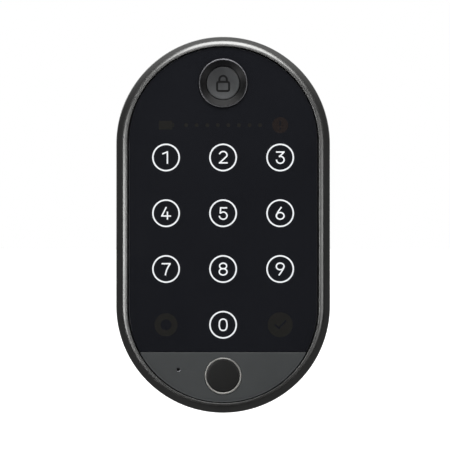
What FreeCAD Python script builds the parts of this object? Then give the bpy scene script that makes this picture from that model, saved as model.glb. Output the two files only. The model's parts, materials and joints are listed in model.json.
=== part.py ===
import FreeCAD, Part
import math
import os
import re
import Sketcher

# Exterior unit of a keypad smart lock, the half that hangs on the outside of the door.
# Frame: X to the right, Y into the door, Z up, with the origin at the centre of the door's
# bore on the door's outer face. A level is a distance out from that face, so level 20 is Y = -20.

doc = FreeCAD.newDocument("keypad_lock")
Vector = FreeCAD.Vector
Constraint = Sketcher.Constraint

# Driving dimensions in millimetres: name, value, meaning.
sizes = [
    ("body_width", 66.0, "housing, overall width"),
    ("body_height", 116.0, "housing, overall height"),
    ("rim_level", 22.0, "front of the housing's rim"),
    ("rim_side", 3.75, "width of the rim at the sides"),
    ("rim_end", 3.2, "width of the rim at the two ends"),
    ("rim_outer_round", 2.6, "rounding of the rim's outer edge"),
    ("rim_inner_round", 0.8, "rounding of the rim's inner edge"),
    ("wall", 3.5, "side wall of the housing"),
    ("ledge_reach", 1.5, "ledge that carries the glass, beyond the opening"),
    ("ledge_thickness", 1.5, "thickness of that ledge"),
    ("bar_above", 2.6, "cross bar, from the trim's upper edge up"),
    ("bar_below", 0.8, "cross bar, from the trim's upper edge down"),
    ("plate_shoulder", 1.3, "step that the back plate rests on"),
    ("plate_thickness", 2.0, "back plate"),
    ("plate_gap", 0.2, "clearance round the back plate"),
    ("gasket_thickness", 1.0, "rubber pad against the door, squeezed"),
    ("gasket_inset", 0.3, "pad's edge in from the housing's edge"),
    ("screw_boss", 6.4, "diameter of the back plate's screw bosses"),
    ("screw_boss_x", 17.1, "sideways place of those bosses"),
    ("screw_boss_inset", 2.9, "bosses' centres in from the cavity wall"),
    ("boss_gap", 0.4, "clearance of boards round the bosses"),
    ("glass_recess", 1.2, "glass front below the rim"),
    ("glass_thickness", 2.0, "cover glass"),
    ("glass_gap", 0.2, "joint round glass and trim"),
    ("glass_chamfer", 0.25, "ground edge of the glass"),
    ("tape_thickness", 0.3, "adhesive frames"),
    ("tape_inset", 0.15, "adhesive in from the edge that it holds"),
    ("trim_margin", 1.0, "trim above the ring's flange"),
    ("trim_thickness", 2.1, "metal trim"),
    ("joint_gap", 0.15, "joint between glass and trim"),
    ("vent_out", 4.2, "vent hole beyond the holder's screw"),
    ("vent_rise", 1.9, "vent hole above the sensor's centre"),
    ("vent_hole", 0.9, "vent hole's diameter"),
    ("vent_disc", 4.2, "breathable disc behind it"),
    ("key_side", 11.69, "outer key columns in from the opening's side"),
    ("key_top", 34.07, "first key row below the opening's top"),
    ("key_bottom", 8.45, "last key row above the trim"),
    ("key_ring", 8.1, "diameter of a key's ring"),
    ("key_well_margin", 1.2, "light well beyond the ring"),
    ("status_rise", 9.94, "status row above the first key row"),
    ("dot_end", 6.185, "last status dot from the icon beside it"),
    ("dot_well", 2.2, "light well of a dot"),
    ("icon_well", 6.0, "light wells at the ends of the status row"),
    ("corner_well", 9.0, "light wells beside the last key"),
    ("diffuser_thickness", 0.25, "white film"),
    ("film_gap", 0.4, "film and boards inside the ledge"),
    ("baffle_depth", 3.1, "light baffle"),
    ("board_thickness", 1.2, "keypad board"),
    ("ear_inset", 2.15, "screw ears in from the ledge"),
    ("ear_width", 4.4, "width of an ear"),
    ("ear_pitch", 20.0, "distance between ears"),
    ("ear_gap", 0.3, "clearance of the baffle round an ear"),
    ("button_drop", 11.3, "button below the opening's top"),
    ("bezel_reach", 1.7, "bezel beyond its shank"),
    ("bezel_lip", 0.5, "flat edge round the bezel's dish"),
    ("bezel_rise", 1.2, "bezel above the glass"),
    ("bezel_edge", 0.25, "chamfer of the bezel's edge"),
    ("bezel_seal", 0.2, "gasket under the bezel"),
    ("shank_wall", 0.7, "wall of the bezel's threaded shank"),
    ("shank_gap", 0.2, "clearance round the shank"),
    ("nut_wall", 1.1, "bezel nut beyond its thread, at the flats"),
    ("nut_thickness", 2.0, "bezel nut"),
    ("cap_width", 10.1, "button cap"),
    ("cap_gap", 0.15, "clearance round the cap"),
    ("cap_length", 2.6, "button cap's skirt"),
    ("cap_rise", 0.7, "button's face above the glass"),
    ("cap_dish", 0.2, "hollow of the button's face"),
    ("stem_width", 4.0, "button stem"),
    ("stem_gap", 0.05, "clearance round the stem"),
    ("web_thickness", 1.4, "web that guides the stem"),
    ("clip_room", 1.0, "room round the button clip"),
    ("spring_space", 2.3, "room for the return spring at rest"),
    ("spring_wire", 0.4, "spring wire"),
    ("spring_clearance", 1.4, "spring round the stem"),
    ("spring_turns", 2.5, "turns of the spring"),
    ("clip_thickness", 0.6, "button clip"),
    ("clip_reach", 1.5, "button clip beyond the stem"),
    ("clip_depth", 0.4, "depth of the clip's groove"),
    ("stop_gap", 0.05, "play beside clips and washers"),
    ("ring_section", 0.96, "O-ring's thickness"),
    ("ring_groove", 1.1, "width of the O-ring's groove"),
    ("ring_depth", 0.95, "depth of that groove"),
    ("ring_back", 0.5, "groove from the skirt's rear"),
    ("switch_width", 6.0, "push switch"),
    ("switch_depth", 3.5, "push switch's body"),
    ("plunger_width", 3.4, "switch plunger"),
    ("plunger_rise", 1.9, "plunger above the switch's body"),
    ("plunger_sunk", 0.5, "plunger inside the switch's body"),
    ("plunger_spare", 0.2, "room under the plunger when it is pressed"),
    ("touch_gap", 0.1, "between stem and plunger"),
    ("button_travel", 0.6, "how far the button goes in"),
    ("sensor_foot", 2.0, "ring's flange above the opening's lower end"),
    ("sensor_width", 10.2, "sensor disc"),
    ("ring_wall", 0.575, "ring round the sensor"),
    ("flange_reach", 0.625, "ring's flange beyond the ring"),
    ("flange_thickness", 0.8, "that flange"),
    ("ring_proud", 0.15, "ring above the trim"),
    ("sensor_sunk", 0.2, "sensor below its ring"),
    ("sensor_base", 0.8, "sensor's substrate"),
    ("fit_gap", 0.05, "clearance of parts that slip together"),
    ("sensor_seal", 0.3, "gasket behind the trim"),
    ("sensor_pcb", 0.8, "sensor board"),
    ("holder_end", 2.4, "sensor holder beyond its screws"),
    ("holder_height", 9.0, "sensor holder"),
    ("holder_thickness", 2.0, "sensor holder"),
    ("holder_round", 2.0, "sensor holder's corners"),
    ("strip_slot", 2.9, "middle of the strip's slot below the holder's upper edge"),
    ("holder_screw_out", 3.3, "its screws beyond the ring's flange"),
    ("holder_boss", 4.4, "trim bosses for those screws"),
    ("holder_thread", 1.6, "sensor holder screws"),
    ("holder_head", 3.0, "heads of those screws"),
    ("holder_head_depth", 1.0, "heads of those screws"),
    ("holder_screw_reach", 0.7, "those screws into the trim plate"),
    ("flex_width", 6.0, "flexible strip"),
    ("flex_thickness", 0.2, "flexible strip"),
    ("flex_bend", 1.5, "bend of the strip"),
    ("flex_offset", 0.8, "strip above the trim's upper edge"),
    ("socket_width", 9.0, "strip's socket"),
    ("socket_depth", 3.0, "strip's socket"),
    ("socket_rise", 1.4, "strip's socket"),
    ("socket_floor", 0.4, "floor under the strip's slot"),
    ("standoff_length", 3.8, "board standoffs"),
    ("standoff_width", 5.0, "board standoffs"),
    ("standoff_x", 19.0, "standoffs, sideways"),
    ("standoff_z", 22.0, "standoffs, up and down"),
    ("main_thickness", 1.6, "main board"),
    ("main_side", 4.5, "main board in from the cavity, at the sides"),
    ("main_end", 3.0, "main board in from the cavity, at the ends"),
    ("plug_width", 18.0, "board connector, upper half"),
    ("plug_depth", 4.4, "board connector, upper half"),
    ("plug_rim", 0.5, "lower half beyond the upper half"),
    ("plug_split", 3.0, "height of the lower half"),
    ("plug_z", 20.0, "board connector below the centre"),
    ("module_drop", 17.0, "radio and buzzer below the button"),
    ("buzzer_width", 12.0, "buzzer"),
    ("buzzer_rise", 3.5, "buzzer"),
    ("buzzer_mouth", 2.0, "buzzer's sound hole"),
    ("radio_rise", 2.2, "radio module's can"),
    ("chip_rise", 1.2, "chips on the main board"),
    ("touch_chip_rise", 0.9, "chips on the keypad board"),
    ("led_rise", 0.6, "LEDs"),
    ("key_led", 1.6, "LEDs behind the keys, long way"),
    ("icon_led", 1.0, "LEDs behind the dots, long way"),
    ("thread_gap", 0.02, "screws in their threads"),
    ("screw_gap", 0.2, "screws in plain holes"),
    ("plate_thread", 3.0, "screws of back plate and collar"),
    ("plate_thread_length", 8.0, "thread in a boss"),
    ("plate_head", 6.0, "countersunk heads of the back plate's screws"),
    ("plate_head_depth", 1.5, "those heads"),
    ("collar_head", 5.5, "heads of the collar's screws"),
    ("collar_head_depth", 1.8, "those heads"),
    ("head_socket", 2.0, "hexagon sockets, across flats"),
    ("head_socket_depth", 1.0, "hexagon sockets"),
    ("ear_thread", 2.0, "keypad board screws"),
    ("ear_head", 3.8, "heads of those screws"),
    ("ear_head_depth", 1.2, "heads of those screws"),
    ("ear_thread_length", 2.6, "thread in an ear"),
    ("main_thread", 2.5, "main board screws"),
    ("main_head", 4.5, "heads of those screws"),
    ("main_head_depth", 1.5, "heads of those screws"),
    ("main_screw_short", 1.0, "those screws' ends above the back plate"),
    ("bore_pin", 52.0, "collar that fits the door's bore"),
    ("collar_depth", 6.0, "collar's reach into the door"),
    ("collar_wall", 2.0, "collar's ring wall"),
    ("collar_relief", 0.5, "undercut where the collar passes the pad"),
    ("collar_chamfer", 0.5, "lead-in of the collar"),
    ("collar_web", 2.0, "collar's web"),
    ("collar_gap", 0.3, "pad's hole round the collar"),
    ("collar_screw_radius", 17.0, "circle of the collar's screws"),
    ("post_x", 19.0, "threaded posts, sideways"),
    ("post_width", 8.0, "threaded post"),
    ("post_bore", 4.2, "tapped bore of a post"),
    ("post_reach", 8.0, "post's end beyond the door's face"),
    ("post_flange", 11.0, "post's flange"),
    ("post_flange_thickness", 1.5, "post's flange"),
    ("cable_drop", 16.5, "cable inlet below the centre"),
    ("header_drop", 11.0, "cable header below the inlet"),
    ("header_width", 12.0, "cable header"),
    ("header_depth", 5.0, "cable header, up and down"),
    ("header_rise", 3.2, "cable header off the board"),
    ("header_wall", 0.8, "wall of the header"),
    ("cable_hole", 7.0, "cable inlet"),
    ("grommet_body", 11.0, "grommet in the plates"),
    ("grommet_flange", 14.0, "grommet's lips"),
    ("grommet_lip", 1.2, "thickness of a lip"),
    ("bush_width", 14.0, "hub's bush"),
    ("bush_flange", 18.0, "bush's flange"),
    ("bush_flange_thickness", 1.0, "bush's flange"),
    ("hub_shaft", 10.0, "hub's shaft"),
    ("hub_running_gap", 0.05, "shaft in its bush"),
    ("hub_head", 16.0, "hub's head"),
    ("hub_head_length", 6.0, "hub's head"),
    ("hub_washer_thickness", 0.5, "thrust washer"),
    ("hub_clip_depth", 0.7, "depth of the hub clip's groove"),
    ("hub_clip_width", 12.0, "hub's clip"),
    ("hub_clip_gap", 3.0, "opening of that clip"),
    ("hub_chamfer", 0.5, "hub head's rear edge"),
    ("hub_end", 0.6, "shaft beyond its clip"),
    ("blade_width", 8.0, "tailpiece blade"),
    ("blade_thickness", 2.2, "tailpiece blade"),
    ("blade_gap", 0.1, "blade in its slot"),
    ("blade_reach", 45.0, "blade's end beyond the door's face"),
    ("pin_width", 2.0, "cross pin"),
    ("contact_pitch", 12.7, "power contacts, centre to centre"),
    ("contact_head", 5.0, "power contact"),
    ("contact_head_length", 1.0, "power contact's head"),
    ("contact_shank", 2.2, "power contact's shank"),
    ("contact_sunk", 0.5, "contact below the block's surface"),
    ("contact_tab", 0.6, "thickness of the soldered tab"),
    ("contact_short", 0.5, "shanks past the block's inner face"),
    ("contact_tab_length", 5.0, "soldered tab"),
    ("block_width", 21.0, "contact block"),
    ("block_depth", 7.6, "contact block, front to back"),
    ("block_sunk", 0.3, "block below the housing's surface"),
    ("block_inside", 2.0, "block inside the cavity wall"),
    ("block_lip", 1.5, "block's inner lip"),
    ("block_gap", 0.1, "clearance round the block"),
]

# Dimensions that follow from those above.
derived = {
    "opening_width": "body_width - 2 * rim_side",
    "opening_height": "body_height - 2 * rim_end",
    "window_width": "opening_width - 2 * ledge_reach",
    "window_height": "opening_height - 2 * ledge_reach",
    "cavity_width": "body_width - 2 * wall",
    "cavity_height": "body_height - 2 * wall",
    "recess_width": "cavity_width + 2 * plate_shoulder",
    "recess_height": "cavity_height + 2 * plate_shoulder",
    "end_centre": "(body_height - body_width) / 2",
    "film_width": "window_width - 2 * film_gap",
    "film_height": "window_height - 2 * film_gap",
    "main_width": "cavity_width - 2 * main_side",
    "main_height": "cavity_height - 2 * main_end",
    # heights on the front
    "sensor_ring": "sensor_width + 2 * ring_wall",
    "ring_flange": "sensor_ring + 2 * flange_reach",
    "sensor_rise": "sensor_foot + ring_flange / 2",
    "trim_height": "sensor_rise + ring_flange / 2 + trim_margin",
    "trim_edge": "trim_height - opening_height / 2",
    "bar_top": "trim_edge + bar_above",
    "bar_bottom": "trim_edge - bar_below",
    "board_edge": "bar_top + film_gap",
    "button_z": "opening_height / 2 - button_drop",
    "sensor_z": "sensor_rise - opening_height / 2",
    "vent_z": "sensor_z + vent_rise",
    "holder_screw_x": "ring_flange / 2 + holder_screw_out",
    "holder_width": "2 * (holder_screw_x + holder_end)",
    "vent_x": "holder_screw_x + vent_out",
    "key_x": "opening_width / 2 - key_side",
    "dot_pitch": "2 * (key_x - dot_end) / 7",
    "first_row": "opening_height / 2 - key_top",
    "last_row": "trim_edge + key_bottom",
    "row_pitch": "(first_row - last_row) / 3",
    "status_row": "first_row + status_rise",
    "key_well": "key_ring + 2 * key_well_margin",
    "plunger_well": "plunger_sunk + button_travel + plunger_spare",
    "plate_hole": "plate_thread + 2 * screw_gap",
    "boss_clearance": "screw_boss + 2 * boss_gap",
    "header_z": "-cable_drop - header_drop",
    "module_z": "button_z - module_drop",
    "ear_x": "window_width / 2 - ear_inset",
    "screw_boss_z": "end_centre + sqrt((cavity_width / 2 - screw_boss_inset)^2 - screw_boss_x^2)",
    "flex_z": "trim_edge + flex_offset",
    "strip_end": "main_front + socket_floor + fit_gap",
    "bezel_shank": "cap_width + 2 * cap_gap + 2 * shank_wall",
    "bezel_width": "bezel_shank + 2 * bezel_reach",
    "bezel_mouth": "bezel_width - 2 * bezel_lip",
    "nut_flats": "bezel_shank + 2 * nut_wall",
    "clip_width": "stem_width + 2 * clip_reach",
    "clip_pocket": "clip_width + 2 * clip_room",
    "spring_width": "stem_width + 2 * spring_clearance + spring_wire",
    "hole_width": "bezel_shank + 2 * shank_gap",
    # levels out from the door
    "glass_front": "rim_level - glass_recess",
    "glass_rear": "glass_front - glass_thickness",
    "trim_front": "glass_rear + trim_thickness",
    "ledge_front": "glass_rear - tape_thickness",
    "ledge_rear": "ledge_front - ledge_thickness",
    "board_front": "ledge_front - baffle_depth",
    "board_rear": "board_front - board_thickness",
    "plate_front": "gasket_thickness + plate_thickness",
    "main_rear": "plate_front + standoff_length",
    "main_front": "main_rear + main_thickness",
    "shank_end": "board_rear - nut_thickness",
    "bezel_front": "glass_front + bezel_rise",
    "bezel_rear": "glass_front + bezel_seal",
    "cap_front": "glass_front + cap_rise",
    "cap_rear": "cap_front - cap_length",
    "web_front": "cap_rear - spring_space",
    "web_rear": "web_front - web_thickness",
    "clip_front": "web_rear - stop_gap",
    "clip_rear": "clip_front - clip_thickness",
    "switch_front": "main_front + switch_depth",
    "plunger_front": "switch_front + plunger_rise",
    "stem_end": "plunger_front + touch_gap",
    "flange_front": "glass_rear - sensor_seal",
    "flange_rear": "flange_front - flange_thickness",
    "ring_front": "trim_front + ring_proud",
    "holder_front": "flange_rear - sensor_base",
    "pcb_rear": "holder_front - sensor_pcb",
    "holder_rear": "holder_front - holder_thickness",
    "web_end": "gasket_thickness - collar_web",
    "bush_end": "web_end - bush_flange_thickness",
    "head_start": "bush_end - stop_gap",
    "head_end": "head_start - hub_head_length",
    "hub_washer_front": "plate_front + hub_washer_thickness",
    "hub_clip_rear": "hub_washer_front + stop_gap",
    "hub_clip_front": "hub_clip_rear + clip_thickness",
    "hub_front": "hub_clip_front + hub_end",
    "pin_level": "(head_start + head_end) / 2",
    "contact_level": "main_front + contact_tab / 2",
    "block_radius": "body_width / 2 - block_sunk",
    "contact_reach": "contact_pitch / 2 + contact_head / 2",
    "contact_face": "sqrt(block_radius^2 - contact_reach^2) + end_centre - contact_sunk",
}

sheet = doc.addObject("Spreadsheet::Sheet", "Sizes")
for row, (alias, millimetres, meaning) in enumerate(sizes, start=1):
    sheet.set(f"A{row}", meaning)
    sheet.set(f"B{row}", str(millimetres))
    sheet.setAlias(f"B{row}", alias)
doc.recompute()
aliases = {alias for alias, millimetres, meaning in sizes}

dotCount = 8
pieces = []
solidCounts = {}


def bound(text):
    """Write an expression of plain names as one that FreeCAD reads from the sheet."""
    def full(match):
        name = match.group(0)
        if name in derived:
            return "(" + bound(derived[name]) + ")"
        if name in aliases:
            return "Sizes." + name
        return name
    return re.sub(r"[a-z][a-z_]*", full, str(text))


def value(text):
    """The number that an expression gives with the sheet as it is."""
    return float(sheet.evalExpression(bound(text)))


def newBody(label, solids=1, x="0", z="0"):
    """A body for one node. x and z move it sideways and up from the origin."""
    body = doc.addObject("PartDesign::Body", label)
    body.Label = label
    if x != "0":
        body.setExpression("Placement.Base.x", bound(x))
    if z != "0":
        body.setExpression("Placement.Base.z", bound(z))
    pieces.append(body)
    solidCounts[label] = solids
    return body


def newSketch(body, name, offset="0", role="XZ_Plane"):
    """A sketch on one of the body's own planes. On XZ_Plane the offset is a level."""
    plane = next(feature for feature in body.Origin.OriginFeatures if feature.Role == role)
    sketch = body.newObject("Sketcher::SketchObject", body.Label + "_" + name)
    sketch.AttachmentSupport = [(plane, "")]
    sketch.MapMode = "FlatFace"
    sketch.setExpression("AttachmentOffset.Base.z", bound(offset))
    return sketch


def bind(sketch, constraint, name, expression):
    """Add a dimension that follows an expression."""
    index = sketch.addConstraint(constraint)
    sketch.renameConstraint(index, name)
    sketch.setExpression("Constraints." + name, bound(expression))


def pin(sketch, geometry, point, across, up, name):
    """Hold a point of the sketch at its distances from the origin."""
    if across == "0":
        sketch.addConstraint(Constraint("PointOnObject", geometry, point, -2))
    else:
        distance = Constraint("DistanceX", -1, 1, geometry, point, value(across))
        bind(sketch, distance, name + "_across", across)
    if up == "0":
        sketch.addConstraint(Constraint("PointOnObject", geometry, point, -1))
    else:
        distance = Constraint("DistanceY", -1, 1, geometry, point, value(up))
        bind(sketch, distance, name + "_up", up)


def line(sketch, start, end):
    return sketch.addGeometry(Part.LineSegment(Vector(*start, 0), Vector(*end, 0)), False)


def arc(sketch, centre, radius, start, end):
    circle = Part.Circle(Vector(*centre, 0), Vector(0, 0, 1), radius)
    return sketch.addGeometry(Part.ArcOfCircle(circle, start, end), False)


def circles(sketch, diameter, places):
    """Circles of one size at several places."""
    for number, (across, up) in enumerate(places):
        centre = Vector(value(across), value(up), 0)
        circle = Part.Circle(centre, Vector(0, 0, 1), value(diameter) / 2)
        index = sketch.addGeometry(circle, False)
        name = f"c{len(sketch.Geometry)}_{number}"
        pin(sketch, index, 3, across, up, name)
        bind(sketch, Constraint("Diameter", index, value(diameter)), name + "_size", diameter)


def polygon(sketch, points, name="point"):
    """A closed outline of straight sides, each corner held at its own distances."""
    corners = [(value(across), value(up)) for across, up in points]
    first = len(sketch.Geometry)
    count = len(corners)
    for number in range(count):
        line(sketch, corners[number], corners[(number + 1) % count])
    for number in range(count):
        before = first + (number - 1) % count
        sketch.addConstraint(Constraint("Coincident", before, 2, first + number, 1))
        pin(sketch, first + number, 1, *points[number], f"{name}{first}_{number}")


def rectangles(sketch, width, height, places):
    """Rectangles of one size, centred at several places."""
    for across, up in places:
        left = f"{across} - ({width}) / 2"
        right = f"{across} + ({width}) / 2"
        low = f"{up} - ({height}) / 2"
        high = f"{up} + ({height}) / 2"
        polygon(sketch, [(left, low), (right, low), (right, high), (left, high)], "corner")


def hexagons(sketch, flats, places):
    """Regular hexagons, flat sides up and down."""
    for across, up in places:
        corners = []
        for turn in range(6):
            angle = math.radians(60 * turn)
            sideways = f"{across} + {math.cos(angle):.9f} * ({flats}) / sqrt(3)"
            upwards = f"{up} + {math.sin(angle):.9f} * ({flats}) / sqrt(3)"
            if turn % 3 == 0:
                upwards = up
            corners.append((sideways, upwards))
        polygon(sketch, corners, "hex")


def stadium(sketch, width, height):
    """Two half circles joined by straight sides, centred on the origin."""
    radius = value(width) / 2
    straight = (value(height) - value(width)) / 2
    top = arc(sketch, (0, straight), radius, 0, math.pi)
    left = line(sketch, (-radius, straight), (-radius, -straight))
    foot = arc(sketch, (0, -straight), radius, math.pi, 2 * math.pi)
    right = line(sketch, (radius, -straight), (radius, straight))
    name = f"stadium{top}"
    for first, firstEnd, second, secondEnd in ((top, 2, left, 1), (left, 2, foot, 1),
                                               (foot, 2, right, 1), (right, 2, top, 1)):
        sketch.addConstraint(Constraint("Tangent", first, firstEnd, second, secondEnd))
    sketch.addConstraint(Constraint("Vertical", left))
    sketch.addConstraint(Constraint("Equal", top, foot))
    sketch.addConstraint(Constraint("Symmetric", top, 3, foot, 3, -1, 1))
    bind(sketch, Constraint("Radius", top, radius), name + "_radius", f"({width}) / 2")
    bind(sketch, Constraint("DistanceY", foot, 3, top, 3, 2 * straight), name + "_straight",
         f"{height} - ({width})")


def upperPane(sketch, width, height, chord):
    """A stadium cut off by a level line at height chord, which keeps what is above it."""
    radius = value(width) / 2
    straight = (value(height) - value(width)) / 2
    cut = value(chord)
    half = math.sqrt(radius ** 2 - (cut + straight) ** 2)
    angle = math.atan2(cut + straight, half)
    top = arc(sketch, (0, straight), radius, 0, math.pi)
    left = line(sketch, (-radius, straight), (-radius, -straight))
    footLeft = arc(sketch, (0, -straight), radius, math.pi, math.pi - angle)
    base = line(sketch, (-half, cut), (half, cut))
    footRight = arc(sketch, (0, -straight), radius, 2 * math.pi + angle, 2 * math.pi)
    right = line(sketch, (radius, -straight), (radius, straight))
    name = f"pane{top}"
    for first, firstEnd, second, secondEnd in ((top, 2, left, 1), (left, 2, footLeft, 1),
                                               (footRight, 2, right, 1), (right, 2, top, 1)):
        sketch.addConstraint(Constraint("Tangent", first, firstEnd, second, secondEnd))
    sketch.addConstraint(Constraint("Coincident", footLeft, 2, base, 1))
    sketch.addConstraint(Constraint("Coincident", base, 2, footRight, 1))
    sketch.addConstraint(Constraint("Coincident", footLeft, 3, footRight, 3))
    sketch.addConstraint(Constraint("Symmetric", top, 3, footLeft, 3, -1, 1))
    sketch.addConstraint(Constraint("PointOnObject", top, 3, -2))
    sketch.addConstraint(Constraint("Vertical", left))
    sketch.addConstraint(Constraint("Vertical", right))
    sketch.addConstraint(Constraint("Horizontal", base))
    bind(sketch, Constraint("Radius", top, radius), name + "_radius", f"({width}) / 2")
    bind(sketch, Constraint("DistanceY", footLeft, 3, top, 3, 2 * straight), name + "_straight",
         f"{height} - ({width})")
    bind(sketch, Constraint("DistanceY", -1, 1, base, 1, cut), name + "_cut", chord)


def lowerPane(sketch, width, height, chord):
    """What the same cut leaves below the line: an arc closed by its chord."""
    radius = value(width) / 2
    centre = (value(width) - value(height)) / 2
    cut = value(chord)
    half = math.sqrt(radius ** 2 - (cut - centre) ** 2)
    angle = math.atan2(centre - cut, half)
    bow = arc(sketch, (0, centre), radius, math.pi + angle, 2 * math.pi - angle)
    top = line(sketch, (half, cut), (-half, cut))
    name = f"pane{bow}"
    sketch.addConstraint(Constraint("Coincident", bow, 2, top, 1))
    sketch.addConstraint(Constraint("Coincident", top, 2, bow, 1))
    sketch.addConstraint(Constraint("Horizontal", top))
    pin(sketch, bow, 3, "0", f"(({width}) - ({height})) / 2", name + "_centre")
    bind(sketch, Constraint("Radius", bow, radius), name + "_radius", f"({width}) / 2")
    bind(sketch, Constraint("DistanceY", -1, 1, top, 1, cut), name + "_cut", chord)


def bottomBand(sketch, inner, outer, halfWidth):
    """A stretch of the housing's lower end between two radii, with upright sides."""
    centre = -value("end_centre")
    reach = value(halfWidth)
    outerFall = math.sqrt(value(outer) ** 2 - reach ** 2)
    innerFall = math.sqrt(value(inner) ** 2 - reach ** 2)
    outerAngle = math.atan2(outerFall, reach)
    innerAngle = math.atan2(innerFall, reach)
    low = arc(sketch, (0, centre), value(outer), math.pi + outerAngle, 2 * math.pi - outerAngle)
    right = line(sketch, (reach, centre - outerFall), (reach, centre - innerFall))
    high = arc(sketch, (0, centre), value(inner), math.pi + innerAngle, 2 * math.pi - innerAngle)
    left = line(sketch, (-reach, centre - innerFall), (-reach, centre - outerFall))
    for first, firstEnd, second, secondEnd in ((low, 2, right, 1), (right, 2, high, 2),
                                               (high, 1, left, 1), (left, 2, low, 1)):
        sketch.addConstraint(Constraint("Coincident", first, firstEnd, second, secondEnd))
    sketch.addConstraint(Constraint("Coincident", low, 3, high, 3))
    sketch.addConstraint(Constraint("Vertical", right))
    sketch.addConstraint(Constraint("Vertical", left))
    pin(sketch, low, 3, "0", "-end_centre", "centre")
    bind(sketch, Constraint("Radius", low, value(outer)), "outer", outer)
    bind(sketch, Constraint("Radius", high, value(inner)), "inner", inner)
    bind(sketch, Constraint("DistanceX", -1, 1, right, 1, reach), "right", halfWidth)
    bind(sketch, Constraint("DistanceX", -1, 1, left, 1, -reach), "left", f"-({halfWidth})")


def pad(body, sketch, length, taper="0"):
    """Raise the sketch outwards from the door."""
    feature = body.newObject("PartDesign::Pad", sketch.Name + "_pad")
    feature.Profile = sketch
    feature.setExpression("Length", bound(length))
    if taper != "0":
        feature.setExpression("TaperAngle", bound(taper))
    return feature


def pocket(body, sketch, length, outward=False, taper="0"):
    """Cut the sketch towards the door, or away from it."""
    feature = body.newObject("PartDesign::Pocket", sketch.Name + "_pocket")
    feature.Profile = sketch
    feature.setExpression("Length", bound(length))
    feature.Reversed = outward
    if taper != "0":
        feature.setExpression("TaperAngle", bound(taper))
    return feature


def between(body, name, low, high):
    """A sketch at level low and the length up to level high, for a pad."""
    return newSketch(body, name, low), f"({high}) - ({low})"


def below(body, name, high, low):
    """A sketch at level high and the length down to level low, for a pocket."""
    return newSketch(body, name, high), f"({high}) - ({low})"


def addRound(body, kind, edgeTest, size):
    """Fillet or chamfer the edges of the body's last feature that pass a test."""
    doc.recompute()
    base = body.Tip
    names = [f"Edge{number}" for number, edge in enumerate(base.Shape.Edges, start=1) if edgeTest(edge)]
    feature = body.newObject("PartDesign::" + kind, body.Label + "_" + kind.lower())
    feature.Base = (base, names)
    feature.setExpression("Radius" if kind == "Fillet" else "Size", bound(size))
    return feature


def atLevel(level):
    """A test for edges that lie flat at one level."""
    def test(edge):
        box = edge.BoundBox
        return abs(box.YMin + value(level)) < 1e-4 and abs(box.YMax + value(level)) < 1e-4
    return test


def turned(label, points, x="0", z="0"):
    """A piece turned about an axis into the door, from corners given as radius and level."""
    body = newBody(label, 1, x, z)
    sketch = newSketch(body, "profile", "0", "XY_Plane")
    polygon(sketch, [(radius, f"-({level})") for radius, level in points])
    feature = body.newObject("PartDesign::Revolution", label + "_turn")
    feature.Profile = sketch
    feature.ReferenceAxis = (sketch, ["V_Axis"])
    feature.Angle = 360.0
    return body


def screws(label, places, head, headFrom, headTo, shank, shankFrom, shankTo):
    """A group of equal screws, each a head and a shank, from low to high levels."""
    body = newBody(label, len(places))
    sketch, length = between(body, "heads", headFrom, headTo)
    circles(sketch, head, places)
    pad(body, sketch, length)
    sketch, length = between(body, "shanks", shankFrom, shankTo)
    circles(sketch, shank, places)
    pad(body, sketch, length)
    return body


def chips(label, places, low, high):
    """A group of flat boxes on a board. Each place is across, up, width, height."""
    body = newBody(label, len(places))
    sketch, length = between(body, "outlines", low, high)
    for across, up, width, height in places:
        rectangles(sketch, width, height, [(across, up)])
    pad(body, sketch, length)
    return body


# Places that several pieces share.
keyPlaces = []
for keyRow in range(3):
    for column in ("-key_x", "0", "key_x"):
        keyPlaces.append((column, f"first_row - {keyRow} * row_pitch"))
keyPlaces.append(("0", "last_row"))
dotPlaces = [(f"{number - (dotCount - 1) / 2} * dot_pitch", "status_row") for number in range(dotCount)]
iconPlaces = [("-key_x", "status_row"), ("key_x", "status_row")]
cornerPlaces = [("-key_x", "last_row"), ("key_x", "last_row")]
earPlaces = []
bossPlaces = []
standoffPlaces = []
for side in ("-", ""):
    for earRow in (-1, 0, 1):
        earPlaces.append((side + "ear_x", f"{earRow} * ear_pitch" if earRow else "0"))
    for end in ("-", ""):
        bossPlaces.append((side + "screw_boss_x", f"{end}(screw_boss_z)"))
        standoffPlaces.append((side + "standoff_x", end + "standoff_z"))
upperBossPlaces = [place for place in bossPlaces if not place[1].startswith("-")]
buttonPlace = [("0", "button_z")]
holderScrewPlaces = [("-holder_screw_x", "sensor_z"), ("holder_screw_x", "sensor_z")]
postPlaces = [("-post_x", "0"), ("post_x", "0")]
cablePlace = [("0", "-cable_drop")]
collarScrewPlaces = [("0", "collar_screw_radius"),
                     ("-collar_screw_radius * sqrt(3) / 2", "-collar_screw_radius / 2"),
                     ("collar_screw_radius * sqrt(3) / 2", "-collar_screw_radius / 2")]


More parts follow.
